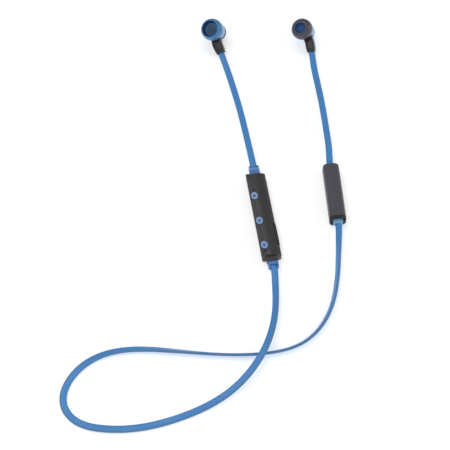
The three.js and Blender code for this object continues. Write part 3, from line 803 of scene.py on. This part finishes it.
def ribbon(name, line, first, last):
    """Stations first..last of a centre line as a strip, with UVs in millimetres."""
    pos = line[:, :3]
    across, out = cord_axes(line)
    sec = cord_section()
    n = len(sec)
    sides = np.linalg.norm(np.diff(np.vstack([sec, sec[:1]]), axis=0), axis=1)
    u_around = np.concatenate([[0], np.cumsum(sides)])
    u_along = np.concatenate([[0], np.cumsum(np.linalg.norm(np.diff(pos, axis=0), axis=1))])
    rings = [pos[i] + sec[:, :1] * across[i] + sec[:, 1:] * out[i] for i in range(first, last + 1)]
    ob = loft(rings, name, (CORD,))
    uv = ob.data.uv_layers.new(name="UVMap")
    for poly in ob.data.polygons:
        columns = [v % n for v in poly.vertices]
        # the quads that close the section end at its full length, not at 0; the caps do not
        closing = len(columns) == 4 and 0 in columns and (n - 1) in columns
        for loop, vert, j in zip(poly.loop_indices, poly.vertices, columns):
            around = u_around[n if closing and j == 0 else j]
            uv.data[loop].uv = (u_along[first + vert // n], around)
    smooth(ob, 60)
    ob.data.transform(Matrix.Scale(MM, 4))
    ob.data.update()
    return ob


def travel(line, joint):
    """Direction of travel of the line at a joint, level because the hinge is vertical."""
    p = np.array(JOINTS[joint]["pos_m"]) * 1000
    i = int(np.argmin(np.linalg.norm(line[:, :3] - p, axis=1)))
    v = Vector(line[min(len(line) - 1, i + 3), :3] - line[max(0, i - 3), :3])
    v.z = 0
    return v.normalized()


def half_cord(name, cad_name, line, span, joint, sense):
    """Half a cord; two halves meet cap to cap.

    sense is 1 where the line runs from the joint's parent to its child and -1 where it runs
    back."""
    ob = ribbon(name, line, *span)
    d = travel(line, joint) * sense
    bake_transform(ob)
    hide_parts(cad_name)


def neck_cord():
    depth = REMOTE_HALF + BOOT_END - BOOT_SLOT - 0.5
    line = lead_in(centre_line(NECK_CORD), local_point(REMOTE, CORD_X, -depth, 0),
                   -y_axis(REMOTE), tilt=0)
    line = lead_out(line, local_point(BATTERY, 0, -BATTERY_HALF + 1.1, 0),
                    -y_axis(BATTERY), tilt=0)
    line = resample(line)
    split = int(np.argmin(line[:, 0]))   # where the loop reaches furthest towards -X
    half_cord("neck_cord_remote_half", "neck_cord", line, (0, split),
              "remote_cord_flex", sense=-1)
    half_cord("neck_cord_battery_half", "neck_cord", line, (split, len(line) - 1),
              "battery_cord_flex", sense=1)


def ear_cord(side, points, module, x, y):
    """A cord from an earbud's stem to the point x, y inside a module's +Y end."""
    bud = BUDS[side]
    in_stem = local_point(bud["frame"], bud["stem_x"], -bud["stem_end"] + 1.6, bud["stem_z"])
    line = lead_in(centre_line(points), in_stem, -y_axis(bud["frame"]), tilt=-13)
    line = lead_out(line, local_point(module, x, y, 0), y_axis(module), tilt=0)
    line = resample(line)
    cad_name = f"{side}_ear_cord"
    split = len(line) // 2
    half_cord(f"{cad_name}_upper_half", cad_name, line, (0, split),
              f"{side}_stem_flex", sense=-1)
    half_cord(f"{cad_name}_lower_half", cad_name, line, (split, len(line) - 1),
              f"{side}_cord_flex", sense=-1)


neck_cord()
ear_cord("left", LEFT_CORD, REMOTE, CORD_X, REMOTE_HALF + BOOT_END - BOOT_SLOT - 0.5)
ear_cord("right", RIGHT_CORD, BATTERY, 0, BATTERY_HALF - 0.3)

# ------------------------------------------------------------------ in-line remote
# x, z corners of the shell's section and of its hollow
SHELL_SECTION = [(-5.2, 3.2), (0, 3.2), (3.1, 2.7), (5.15, 1.6), (5.0, -3.2), (-4.6, -3.2)]
SHELL_ROUNDING = [0.34, 0.7, 0.8, 0.7, 0.7, 0.7]
HOLLOW = [(-4.3, 2.4), (0, 2.4), (2.6, 2.0), (2.9, 1.7), (2.9, -2.4), (-3.75, -2.4)]
SHELL_END_ROUND = 0.32
SHELL_HALF_WIDTH, SHELL_HALF_HEIGHT = 4.95, 3.2
FRONT_Z, REAR_Z = -1.12, -1.33   # where the front shell ends and the rear shell begins

LENS_Y = -22.55
KEY_HALF_WIDTH, KEY_HALF_LENGTH = 1.78, 2.25
# a key from its underside to its dished top: radius as a share of the oval, z, corner rounding
KEY_PROFILE = [
    (0, 1.65, 0), (0.36, 1.65, 0), (0.36, 1.8, 0), (1, 1.8, 0), (1, 3.45, 0.12),
    (0.93, 3.66, 0.08), (0.80, 3.75, 0.08), (0.58, 3.73, 0.06), (0.44, 3.50, 0.06),
    (0.25, 3.37, 0.1), (0, 3.34, 0),
]

SOCKET_Y, SOCKET_Z = -12.7, -1.275   # middle of the socket
SOCKET_MOUTH = 3.6                   # x of its open end
SOCKET_DEPTH, SOCKET_WIDTH, SOCKET_HEIGHT = 5.0, 7.5, 2.15   # along x, y and z

DOOR_X, DOOR_Z = 4.0, -0.4           # x of the door's inner face, z of its middle
DOOR_THICK, DOOR_LENGTH, DOOR_HEIGHT = 1.4, 12.6, 4.5        # along x, y and z
DOOR_GAP = 0.25                      # between the door and its recess

BOOT_SIZE = (5.4, 3.4, 0.8)          # width, height, corner radius


def remote_outer(name):
    outline = rounded(SHELL_SECTION, SHELL_ROUNDING, closed=True, n=7)
    end = quarter_round(SHELL_END_ROUND)
    rings = []
    for side, rows in ((-1, end), (1, end[::-1])):
        for along, inset in rows:
            kx, kz = 1 - inset / SHELL_HALF_WIDTH, 1 - inset / SHELL_HALF_HEIGHT
            rings.append([(x * kx, side * (REMOTE_HALF - along), z * kz) for x, z in outline])
    ob = loft(rings, name)
    y = -REMOTE_HALF - COLLAR
    rows = [(y, 0.90), (y + 0.05, 0.945), (y + 0.16, 0.98), (y + 0.32, 1.0),
            (-REMOTE_HALF + 0.6, 1.0)]
    collar = loft(scaled_rings((6.0, 3.9, 0.9), rows, dx=CORD_X, corner=8))
    return boolean(ob, [collar], "UNION")


def remote_cuts():
    """Hollow, the two cord slots, the door's recess and the socket's opening."""
    x0, x1 = CORD_X - 1.85, CORD_X + 1.85
    reach = DOOR_LENGTH / 2
    end = REMOTE_HALF
    return [
        loft([[(x, y, z) for x, z in HOLLOW] for y in (-end + 0.9, end - 0.9)]),
        block(x0, x1, end - 2, end + 2, -1.15, 1.15),
        block(x0, x1, -end - 4, -end + 2, -1.15, 1.15),
        block(DOOR_X - DOOR_GAP, 7, SOCKET_Y - reach - DOOR_GAP, SOCKET_Y + reach + DOOR_GAP,
              DOOR_Z - DOOR_HEIGHT / 2 - DOOR_GAP, 5),
        block(2, 7, SOCKET_Y - 4.05, SOCKET_Y + 4.05, -2.45, 0.02),
    ]


def oval(half_width, half_length, z0, z1, y, seg=64):
    """An upright oval cylinder in the line of the buttons."""
    ob = rod(1.0, z0, z1, seg=seg)
    ob.data.transform(Matrix.Translation((BUTTON_X, y, 0))
                      @ Matrix.Diagonal((half_width, half_length, 1, 1)))
    return ob


def remote_shell(name, cutters):
    """cutters take away the other half and make this half's own holes."""
    first, *others = cutters
    shell = remote_outer(name)
    boolean(shell, [first] + remote_cuts() + others)
    tidy(shell)
    bevel(shell, 0.09, segments=2, angle=42)
    place(shell, REMOTE, "remote", CHARCOAL, angle=30)


def remote_key(name, y):
    points = [(r, z) for r, z, _ in KEY_PROFILE]
    profile = rounded(points, [rounding for _, _, rounding in KEY_PROFILE], n=4)
    key = lathe(profile, 72, name=f"{name}_button_fine")
    key.data.transform(Matrix.Translation((BUTTON_X, y, 0))
                       @ Matrix.Diagonal((KEY_HALF_WIDTH, KEY_HALF_LENGTH, 1, 1)))
    flange = oval(KEY_HALF_WIDTH, 2.68, 1.8, 2.12, y, 72)
    boolean(key, [flange], "UNION")
    tidy(key)
    set_materials(key, KEY, KEY_PAINTED_SHADE)

    def is_painted_shade(p):
        """The dished middle, and the sides below the rim, which take a painted shade."""
        c = p.center
        r = math.hypot((c.x - BUTTON_X) / KEY_HALF_WIDTH, (c.y - y) / KEY_HALF_LENGTH)
        return (r < 0.42 and c.z > 3.2) or (r > 0.9 and c.z < 3.5)

    # the dished middle and the sides below the rim take the painted shade
    use_second_slot(key, is_painted_shade)
    place(key, REMOTE, f"{name}_key", angle=35)


def led_lens():
    profile = [(0, 0.7), (0.85, 0.7), (0.85, 1.0), (0.6, 1.0), (0.6, 3.0), (0.45, 3.12), (0, 3.15)]
    lens = lathe(rounded(profile, 0.08, n=3), 40, name="status_led_lens_fine")
    lens.data.transform(Matrix.Translation((BUTTON_X, LENS_Y, 0)))
    place(lens, REMOTE, "remote", SMOKED)


def charging_socket():
    """Folded shell with a contact tongue, built with its mouth towards -Y and then turned."""
    y0, y1 = -SOCKET_MOUTH, SOCKET_DEPTH - SOCKET_MOUTH
    shell = bar(SOCKET_WIDTH, SOCKET_HEIGHT, 0.55, y0, y1, end=0.05, steps=2,
                name="charging_socket_fine")
    boolean(shell, [bar(SOCKET_WIDTH - 0.6, SOCKET_HEIGHT - 0.5, 0.38, y0 - 1, y1 - 0.6,
                        end=0.02, steps=2)])
    bevel(shell, 0.05, segments=2, angle=40)
    shell.data.materials.append(STEEL)
    tongue = block(-2.7, 2.7, y0 + 0.9, y1 - 0.45, -0.32, 0.18, 0.08)
    tongue.data.materials.append(CHIP)
    pads = []
    for i in range(5):
        x = -1.3 + 0.65 * i
        pad = block(x - 0.17, x + 0.17, y0 + 1.05, y1 - 1.3, -0.38, -0.30)
        pad.data.materials.append(STEEL)
        pads.append(pad)
    socket = merge("charging_socket_fine", [shell, tongue] + pads)
    # the mouth turns from -Y to the remote's +X
    socket.data.transform(Matrix(((0, -1, 0, 0), (1, 0, 0, SOCKET_Y), (0, 0, 1, SOCKET_Z),
                                  (0, 0, 0, 1))))
    place(socket, REMOTE, "remote")


def usb_door():
    """Rubber slab with a hinge roll at its +Y end, a plug, and a notch and ribs at the other."""
    name = "usb_cover_fine"
    hinge_x = DOOR_X + DOOR_THICK / 2
    hinge_y = SOCKET_Y + DOOR_LENGTH / 2 - DOOR_THICK / 2
    free_y = SOCKET_Y - DOOR_LENGTH / 2
    outer_x = DOOR_X + DOOR_THICK
    top, low = DOOR_Z + DOOR_HEIGHT / 2, DOOR_Z - DOOR_HEIGHT / 2
    corners = [(DOOR_X, top), (outer_x - 0.45, top), (outer_x, top - 0.8), (outer_x, low),
               (DOOR_X, low)]
    outline = rounded(corners, [0.12, 0.3, 0.4, 0.4, 0.12], closed=True, n=5)
    rows = [(free_y, 0.86), (free_y + 0.05, 0.93), (free_y + 0.18, 0.98), (free_y + 0.35, 1.0),
            (SOCKET_Y, 1.0), (hinge_y, 1.0)]
    slab = loft([[(hinge_x + (x - hinge_x) * k, y, DOOR_Z + (z - DOOR_Z) * k) for x, z in outline]
                 for y, k in rows], name)
    roll = rod(DOOR_THICK / 2 - 0.01, low + 0.02, top - 0.75, hinge_x, hinge_y, 40)
    bevel(roll, 0.14, segments=3, angle=40)
    plug = block(SOCKET_MOUTH - 0.4, DOOR_X + 0.2, SOCKET_Y - 3.05, SOCKET_Y + 3.05,
                 -1.75, -0.8, 0.14)
    boolean(slab, [roll, plug], "UNION")
    boolean(slab, [rod(1.15, DOOR_Z - 1.3, DOOR_Z + 1.1, outer_x + 0.72, free_y + 0.5, 40)])
    tidy(slab)
    bevel(slab, 0.05, segments=2, angle=50)
    ribs = []
    for i in range(3):
        y = SOCKET_Y - 2.6 + i * 0.8
        rib = block(outer_x - 0.12, outer_x + 0.06, y - 0.13, y + 0.13,
                    DOOR_Z - 1.3, DOOR_Z + 0.9, 0.05)
        rib.data.materials.append(RUBBER)
        ribs.append(rib)
    set_materials(slab, RUBBER)
    place(merge(name, [slab] + ribs), REMOTE, "usb_door", RUBBER)


def remote_boot(name, side, start, grooves):
    """A strain relief on the side's end, its outer end open so the cord lies between two horns.

    start and grooves are distances from the end of the shell."""
    rows = [(start, 0.90), (start + 0.04, 0.955), (start + 0.18, 0.985), (start + 0.4, 1.0),
            (3.4, 1.0), (4.4, 1.0), (5.2, 1.0), (5.6, 0.99), (5.9, 0.97), (6.1, 0.94),
            (6.22, 0.90), (BOOT_END, 0.84)]
    rows = [(side * (REMOTE_HALF + out), k) for out, k in rows]
    boot = loft(scaled_rings(BOOT_SIZE, rows, dx=CORD_X, corner=8), name)

    def slab(half_width, out0, out1, z0, z1, radius=0.0):
        ys = sorted((side * (REMOTE_HALF + out0), side * (REMOTE_HALF + out1)))
        return block(CORD_X - half_width, CORD_X + half_width, *ys, z0, z1, radius)

    # neck through the shell's slot and foot inside it
    boolean(boot, [slab(1.55, -1.4, start + 0.6, -0.85, 0.85, 0.1),
                   slab(2.3, -1.95, -1.15, -1.6, 1.6, 0.1)], "UNION")
    boolean(boot, [slab(1.8, BOOT_END - BOOT_SLOT, BOOT_END + 2, -0.95, 5)])
    cutters = []
    for out in grooves:
        y = side * (REMOTE_HALF + out)
        outer = bar(6.6, 4.6, 0.9, y - 0.09, y + 0.09, end=0.01, steps=1, dx=CORD_X)
        hole = bar(BOOT_SIZE[0] - 0.18, BOOT_SIZE[1] - 0.18, 0.75, y - 1, y + 1,
                   end=0.01, steps=1, dx=CORD_X)
        cutters.append(boolean(outer, [hole]))
    boolean(boot, cutters)
    tidy(boot)
    bevel(boot, 0.10, segments=3, angle=55)
    place(boot, REMOTE, "remote", BOOT, angle=35)


remote_shell("remote_front_shell_fine", [
    block(-9, 9, -40, 40, -9, FRONT_Z),
    *[oval(1.9, 2.4, 1, 5, y) for y in BUTTON_Y.values()],
    rod(0.45, 1, 5, -2.4, 15.0, 24),          # small hole beyond the volume-up button
    rod(0.75, 1, 5, BUTTON_X, LENS_Y, 32),
])
remote_shell("remote_rear_shell_fine", [block(-9, 9, -40, 40, REAR_Z, 9)])
for name, y in BUTTON_Y.items():
    remote_key(name, y)
led_lens()
charging_socket()
usb_door()
remote_boot("remote_upper_boot_fine", side=1, start=0.22, grooves=(1.5, 2.4, 3.3))
remote_boot("remote_lower_boot_fine", side=-1, start=COLLAR + 0.22, grooves=(3.75,))

# ------------------------------------------------------------------ battery module
SLEEVE_WIDTH, SLEEVE_DEPTH, SLEEVE_CORNER = 8.5, 7.8, 2.4
SLEEVE_WALL = 0.8
SHOULDER = 1.5   # length of the rounded shoulder at the +Y end


def battery_sleeve():
    shape = dict(corner=14, flat=4)
    rings = [rect_ring(SLEEVE_WIDTH - 2 * inset, SLEEVE_DEPTH - 2 * inset, SLEEVE_CORNER - inset,
                       -BATTERY_HALF + along, **shape) for along, inset in quarter_round(0.18)]
    rows = [(y, 1.0) for y in (-BATTERY_HALF + 1.2, -11, -5, 0, 5, 11)]
    for i in range(13):
        a = math.radians(90 * i / 12)
        rows.append((BATTERY_HALF - SHOULDER + SHOULDER * math.sin(a) * 0.999,
                     0.80 + 0.20 * math.cos(a) ** 0.8))
    rings += scaled_rings((SLEEVE_WIDTH, SLEEVE_DEPTH, SLEEVE_CORNER), rows, **shape)
    sleeve = loft(rings, "battery_sleeve_fine")

    width, depth = SLEEVE_WIDTH - 2 * SLEEVE_WALL, SLEEVE_DEPTH - 2 * SLEEVE_WALL
    hollow = [rect_ring(width, depth, 1.6, y, corner=10)
              for y in (-BATTERY_HALF - 1, BATTERY_HALF - 1.8)]
    hollow.append(rect_ring(width * 0.9, depth * 0.9, 1.4, BATTERY_HALF - 1.0, corner=10))
    cord_hole = bar(3.8, 2.3, 0.5, 8, 30, end=0.01, steps=1)
    boolean(sleeve, [loft(hollow), cord_hole])
    tidy(sleeve)
    bevel(sleeve, 0.10, segments=3, angle=50)
    # black rubber on the -Y end band, and a painted shade inside the -Y half
    set_materials(sleeve, GREY, RUBBER)

    def is_rubber_end_or_painted_shade(p):
        """The -Y end band in black rubber, and the inside of the -Y half, painted black as shade in the hollow."""
        c = p.center
        return c.y < -BATTERY_HALF + 1.15 or (
            c.y < 0 and abs(c.x) < SLEEVE_WIDTH / 2 - 0.7 and abs(c.z) < SLEEVE_DEPTH / 2 - 0.7)

    use_second_slot(sleeve, is_rubber_end_or_painted_shade)
    place(sleeve, BATTERY, "battery_module", angle=50)


def battery_end_cap():
    cap = bar(SLEEVE_WIDTH - 1.9, SLEEVE_DEPTH - 1.9, 1.5, -BATTERY_HALF + 0.35,
              -BATTERY_HALF + 1.9, end=0.22, end1=0.05, corner=12, name="battery_end_cap_fine")
    boolean(cap, [bar(5.35, 3.75, 1.3, -BATTERY_HALF - 1, -BATTERY_HALF + 4, end=0.01, steps=1,
                      corner=12)])
    tidy(cap)
    bevel(cap, 0.08, segments=2, angle=50)
    place(cap, BATTERY, "battery_module", RUBBER, angle=50)


def battery_lower_boot():
    end = -BATTERY_HALF
    # recess round the cord, then the boot from its outer end to inside the sleeve
    rings = [rect_ring(3.75, 1.9, 0.6, end - 1.8, corner=10),
             rect_ring(3.85, 2.0, 0.7, end - 2.2, corner=10)]
    rows = [(-2.2, 0.70), (-2.16, 0.78), (-2.02, 0.86), (-1.75, 0.94), (-1.35, 0.985),
            (-0.9, 1.0), (0.2, 1.0), (1.6, 1.0), (2.6, 1.0)]
    rings += scaled_rings((5.0, 3.4, 1.2), [(end + along, k) for along, k in rows], corner=10)
    boot = loft(rings, "battery_lower_boot_fine")
    boolean(boot, [bar(5.8, 4.4, 1.2, end + 2.2, end + 3.0, end=0.1, corner=10)], "UNION")
    tidy(boot)
    place(boot, BATTERY, "battery_module", BOOT_LIGHT)


def battery_upper_grommet():
    end = BATTERY_HALF
    rows = [(-1.8, 1.0), (0.3, 1.0), (0.75, 0.99), (1.0, 0.97), (1.15, 0.94), (1.2, 0.90)]
    rings = scaled_rings((3.72, 2.1, 0.8), [(end + along, k) for along, k in rows], corner=8)
    grommet = loft(rings, "battery_upper_grommet_fine")
    boolean(grommet, [bar(4.4, 2.8, 0.6, end - 2.4, end - 1.3, end=0.1, corner=8)], "UNION")
    tidy(grommet)
    place(grommet, BATTERY, "battery_module", RUBBER)


battery_sleeve()
battery_end_cap()
battery_lower_boot()
battery_upper_grommet()

# ------------------------------------------------------------------ earbuds
# share of the stem's length and scale of its section: a stepped collar near the end
STEM_STATIONS = [
    (0, 1), (0.12, 1), (0.3, 1), (0.5, 1), (0.72, 1), (0.835, 1.0), (0.848, 0.985),
    (0.858, 0.945), (0.868, 0.93), (0.95, 0.93), (0.975, 0.918), (0.99, 0.895), (1.0, 0.86),
]
STEM_ROOT = 2.0        # distance of the stem's first station from the bud's axis
STEM_CLEARANCE = 0.12  # gap between the stem and the housings

# closed or open (radius, z) profiles, with the rounding of each corner
FRONT_PROFILE = [(3.5, 6.5), (3.5, 2.0), (4.3, 1.75), (4.85, 1.2), (5.0, 0.5), (5.0, -1.85),
                 (4.35, -1.85), (4.35, 0.8), (2.9, 1.2), (2.9, 6.5)]
FRONT_ROUNDING = [0.12, 0.4, 0.6, 0.5, 0.5, 0.14, 0.05, 0.1, 0.1, 0.1]
REAR_PROFILE = [(0, -6.15), (2.4, -6.12), (3.8, -5.92), (4.3, -5.4), (4.7, -4.4), (4.95, -3.2),
                (5.0, -2.1), (4.35, -2.1), (4.3, -3.2), (4.0, -4.4), (3.6, -5.1), (0, -5.4)]
REAR_ROUNDING = [0, 0.6, 0.55, 0.5, 0.6, 0.6, 0.14, 0.05, 0.3, 0.3, 0.3, 0]
GROOVE_PROFILE = [(2.55, -6.6), (2.72, -6.6), (2.72, -6.02), (2.55, -6.02)]
WIDE_TIP = [(4.3, 8.38), (4.75, 8.5), (5.3, 8.05), (5.85, 6.9), (6.12, 5.4), (6.15, 4.5),
            (6.0, 3.4), (5.75, 2.7), (5.3, 2.75), (5.5, 3.6), (5.6, 4.8), (5.45, 6.0),
            (5.0, 7.1), (4.7, 7.2), (4.35, 6.2), (4.35, 2.35), (3.8, 2.35), (3.8, 7.2)]
NARROW_TIP = [(2.75, 8.25), (3.2, 8.55), (4.2, 8.3), (5.1, 7.5), (5.75, 6.3), (5.95, 5.0),
              (5.9, 3.9), (5.6, 2.8), (5.15, 2.85), (5.4, 3.9), (5.4, 5.0), (5.15, 6.1),
              (4.75, 6.8), (4.45, 6.5), (4.35, 5.8), (4.35, 2.35), (3.8, 2.35), (3.8, 7.15),
              (2.85, 7.3), (2.65, 7.8)]

MESH_RADIUS, MESH_Z = 3.3, 6.88
WEAVE_PITCH, WIRE_RADIUS, WEAVE_HEIGHT = 0.34, 0.085, 0.062


def stem_body(bud, name="part", cutter=False):
    """Lofted handle with a box-like soft section; as a cutter it is larger by the clearance."""
    n = 40 if cutter else 56
    grow = STEM_CLEARANCE if cutter else 0.0
    end = bud["stem_end"]

    def ring(t, share, k):
        """Section at distance t, sized for a share of the length and scaled by k."""
        width, depth = (a * (1 - share) + b * share for a, b in (bud["width"], bud["depth"]))
        # the stem swings out from the bud's axis to its own x
        x0 = bud["stem_x"] * (0.62 + 0.38 * smoothstep(min(1, max(0, (t - 3) / 5))))
        points = [superellipse(2 * math.pi * i / n, width * k / 2 + grow, depth * k / 2 + grow,
                               power=0.52) for i in range(n)]
        return [(x0 + x, -t, bud["stem_z"] + z) for x, z in points]

    shares, scales = zip(*STEM_STATIONS)
    rings = []
    for u in np.unique(np.concatenate([np.linspace(0, 0.83, 18), shares])):
        t = STEM_ROOT + (end - STEM_ROOT) * u
        rings.append(ring(t, u, float(np.interp(u, shares, scales))))
    if not cutter:
        # sunken end where the cord enters
        rings += [ring(end, 1, 0.80), ring(end - 0.35, 1, 0.76)]
    return loft(rings, name)


def woven_wires(material):
    """Two crossing sets of waved wires, the first along X and the second along Y."""
    sides = 6
    reach = MESH_RADIUS - 0.2
    count = int(reach / WEAVE_PITCH)
    verts, faces = [], []
    for axis in (0, 1):
        for i in range(-count, count + 1):
            offset = i * WEAVE_PITCH
            half = math.sqrt(max(0, reach**2 - offset**2))
            if half < 0.3:
                continue
            steps = max(6, int(2 * half / (WEAVE_PITCH / 3)))
            first = len(verts)
            over = 1 if (i + axis) % 2 else -1
            for s in range(steps + 1):
                u = -half + 2 * half * s / steps
                wave = WEAVE_HEIGHT * math.cos(math.pi * u / WEAVE_PITCH) * over
                for k in range(sides):
                    a = 2 * math.pi * k / sides
                    v = offset + WIRE_RADIUS * math.cos(a)
                    z = MESH_Z - 0.10 + wave + WIRE_RADIUS * math.sin(a)
                    verts.append((u, v, z) if axis == 0 else (v, u, z))
            wire = []
            for s in range(steps):
                for k in range(sides):
                    a0, a1 = first + s * sides + k, first + s * sides + (k + 1) % sides
                    wire.append((a0, a1, a1 + sides, a0 + sides))
            wire.append(tuple(first + k for k in reversed(range(sides))))
            wire.append(tuple(first + steps * sides + k for k in range(sides)))
            # swapping x and y mirrors a wire, so one set is turned over
            faces += wire if axis == 1 else [tuple(reversed(f)) for f in wire]
    return new_object("part", verts, outward(verts, faces), (material,))


def woven_mesh(name, material):
    """Wire cloth in a rim, over a supporting plate with two round openings and a slot."""
    r, z = MESH_RADIUS, MESH_Z
    profile = [(r - 0.28, z - 0.28), (r, z - 0.28), (r, z), (r - 0.10, z + 0.05),
               (r - 0.28, z - 0.02)]
    rim = lathe(rounded(profile, 0.06, closed=True, n=3), 72, closed=True, materials=(material,))
    wires = woven_wires(material)
    plate = rod(r - 0.3, z - 0.30, z - 0.22, seg=64)
    boolean(plate, [rod(0.55, z - 1, z + 1, -1.15, 0.1, 32), rod(0.55, z - 1, z + 1, 1.25, 0.1, 32),
                    block(-0.22, 0.22, -1.9, 1.9, z - 1, z + 1)])
    set_materials(plate, GRILLE)
    return merge(name, [rim, wires, plate])


def earbud(side, rear_material, wire_material, tip_profile, tip_rounding,
           tip_material):
    bud = BUDS[side]
    matrix, body = bud["frame"], f"{side}_earbud"

    profile = rounded(FRONT_PROFILE, FRONT_ROUNDING, closed=True, n=5)
    front = lathe(profile, 112, closed=True, name=f"{side}_front_housing_fine")
    boolean(front, [stem_body(bud, cutter=True)])
    tidy(front)
    place(front, matrix, body, GLOSS, angle=42)

    rear = lathe(rounded(REAR_PROFILE, REAR_ROUNDING, n=5), 112, name=f"{side}_rear_housing_fine")
    groove = lathe(GROOVE_PROFILE, closed=True)
    vent = rod(0.3, -6.6, -5.0, 0, 3.3, 24)
    boolean(rear, [stem_body(bud, cutter=True), groove, vent])
    tidy(rear)
    place(rear, matrix, body, rear_material, angle=42)

    stem = stem_body(bud, f"{side}_stem_fine")
    boolean(stem, [rod(4.5, -9, 9, seg=96)])
    tidy(stem)
    place(stem, matrix, body, STEM, angle=35)

    place(woven_mesh(f"{side}_nozzle_mesh_fine", wire_material), matrix, body)

    tip = lathe(rounded(tip_profile, tip_rounding, closed=True, n=6), 128, closed=True,
                name=f"{side}_ear_tip_fine", materials=(tip_material, LINER))

    def is_liner(p):
        """Faces of the bore that look towards the axis."""
        c = p.center
        inward = p.normal.x * c.x + p.normal.y * c.y < -0.2
        return math.hypot(c.x, c.y) < 4.55 and inward and c.z > 2.4

    use_second_slot(tip, is_liner)
    place(tip, matrix, f"{side}_tip", angle=60)


earbud("left", REAR_CUP, WIRE, WIDE_TIP, 0.8, TIP_BLUE)
earbud("right", GLOSS, WIRE_BLUE, NARROW_TIP, 0.7, TIP_DARK)

# ------------------------------------------------------------------ finish of the CAD pieces kept
FINISH = {
    "main_circuit_board": BOARD, "protection_board": BOARD, "bluetooth_chip": CHIP,
    "chip_antenna": FILM, "microphone": STEEL, "lithium_cell": FOIL, "cell_foam_pad": FOAM,
}
for key_name in BUTTON_Y:
    FINISH[f"{key_name}_switch"] = STEEL
    FINISH[f"{key_name}_switch_plunger"] = CHIP
for side in BUDS:
    FINISH[f"{side}_driver_frame"] = STEEL
    FINISH[f"{side}_driver_magnet"] = STEEL
    FINISH[f"{side}_diaphragm"] = FILM
for name, material in FINISH.items():
    ob = NODES[name]
    set_materials(ob, material)
    edge = ob.modifiers.new("edge", "BEVEL")
    edge.width = 0.00004
    edge.segments = 2
    edge.limit_method = "ANGLE"
    edge.angle_limit = math.radians(40)


# ------------------------------------------------------------------ floor
def floor_material():
    m = Mat("floor_pale", (0.93, 0.93, 0.93, 1), roughness=0.6)
    wide = m.noise(scale=18)
    m.tint(wide, (0.91, 0.915, 0.92, 1), amount=0.6)
    m.vary(wide, low=0.55, high=0.65)
    m.set(Specular_IOR_Level=0.2, Emission_Color=(1, 1, 1, 1), Emission_Strength=0.42)
    return m.material


FLOOR_HALF = 3        # metres
FLOOR_GAP = 0.00005   # metres between the floor and the lowest CAD point
floor = new_object(
    "floor", [(x * FLOOR_HALF, y * FLOOR_HALF, 0) for x, y in ((-1, -1), (1, -1), (1, 1), (-1, 1))],
    [(0, 1, 2, 3)], (floor_material(),))
floor.location.z = cad_lo.z - FLOOR_GAP


# ------------------------------------------------------------------ light
def studio_world(colour, light, seen):
    """A backdrop of strength seen to the camera, which lights the scene with strength light."""
    world = bpy.data.worlds.new("studio")
    scene.world = world
    world.use_nodes = True
    nodes, links = world.node_tree.nodes, world.node_tree.links
    background = nodes["Background"]
    background.inputs["Color"].default_value = colour
    path = nodes.new("ShaderNodeLightPath")
    strength = nodes.new("ShaderNodeMapRange")
    strength.inputs["To Min"].default_value = light
    strength.inputs["To Max"].default_value = seen
    links.new(path.outputs["Is Camera Ray"], strength.inputs["Value"])
    links.new(strength.outputs["Result"], background.inputs["Strength"])


def aim(location, target):
    return (Vector(target) - Vector(location)).to_track_quat("-Z", "Y").to_euler()


def area(name, size, energy, location, target=(0, 0, 0)):
    light = bpy.data.lights.new(name, "AREA")
    light.shape = "RECTANGLE"
    light.size, light.size_y = size
    light.energy = energy
    ob = bpy.data.objects.new(name, light)
    scene.collection.objects.link(ob)
    ob.location = Vector(location)
    ob.rotation_euler = aim(location, target)


studio_world(colour=(0.97, 0.985, 1.0, 1), light=0.30, seen=0.96)
area("key_top", size=(0.9, 0.9), energy=4.0, location=(-0.35, 0.10, 0.95))
area("fill_right", size=(0.7, 0.5), energy=2.2, location=(0.85, 0.05, 0.45),
     target=(0.02, 0.08, 0))
area("front_soft", size=(0.9, 0.4), energy=1.8, location=(0.0, -0.9, 0.55))

# ------------------------------------------------------------------ camera, on the -Y side
CAMERA_ELEVATION = math.radians(57)
CAMERA_DISTANCE = 0.665                     # metres
CAMERA_OFFSET = Vector((-0.00018, 0, 0))    # of its target from the cord tables' origin

lens = bpy.data.cameras.new("camera")
lens.sensor_width = 36
lens.lens = 103.68
lens.clip_start, lens.clip_end = 0.01, 20
camera = bpy.data.objects.new("camera", lens)
scene.collection.objects.link(camera)
scene.camera = camera
camera.location = Vector(SHIFT * MM) + CAMERA_OFFSET + CAMERA_DISTANCE * Vector(
    (0, -math.cos(CAMERA_ELEVATION), math.sin(CAMERA_ELEVATION)))
camera.rotation_euler = (math.pi / 2 - CAMERA_ELEVATION, 0, 0)

scene.view_settings.view_transform = "Standard"
scene.view_settings.look = "None"
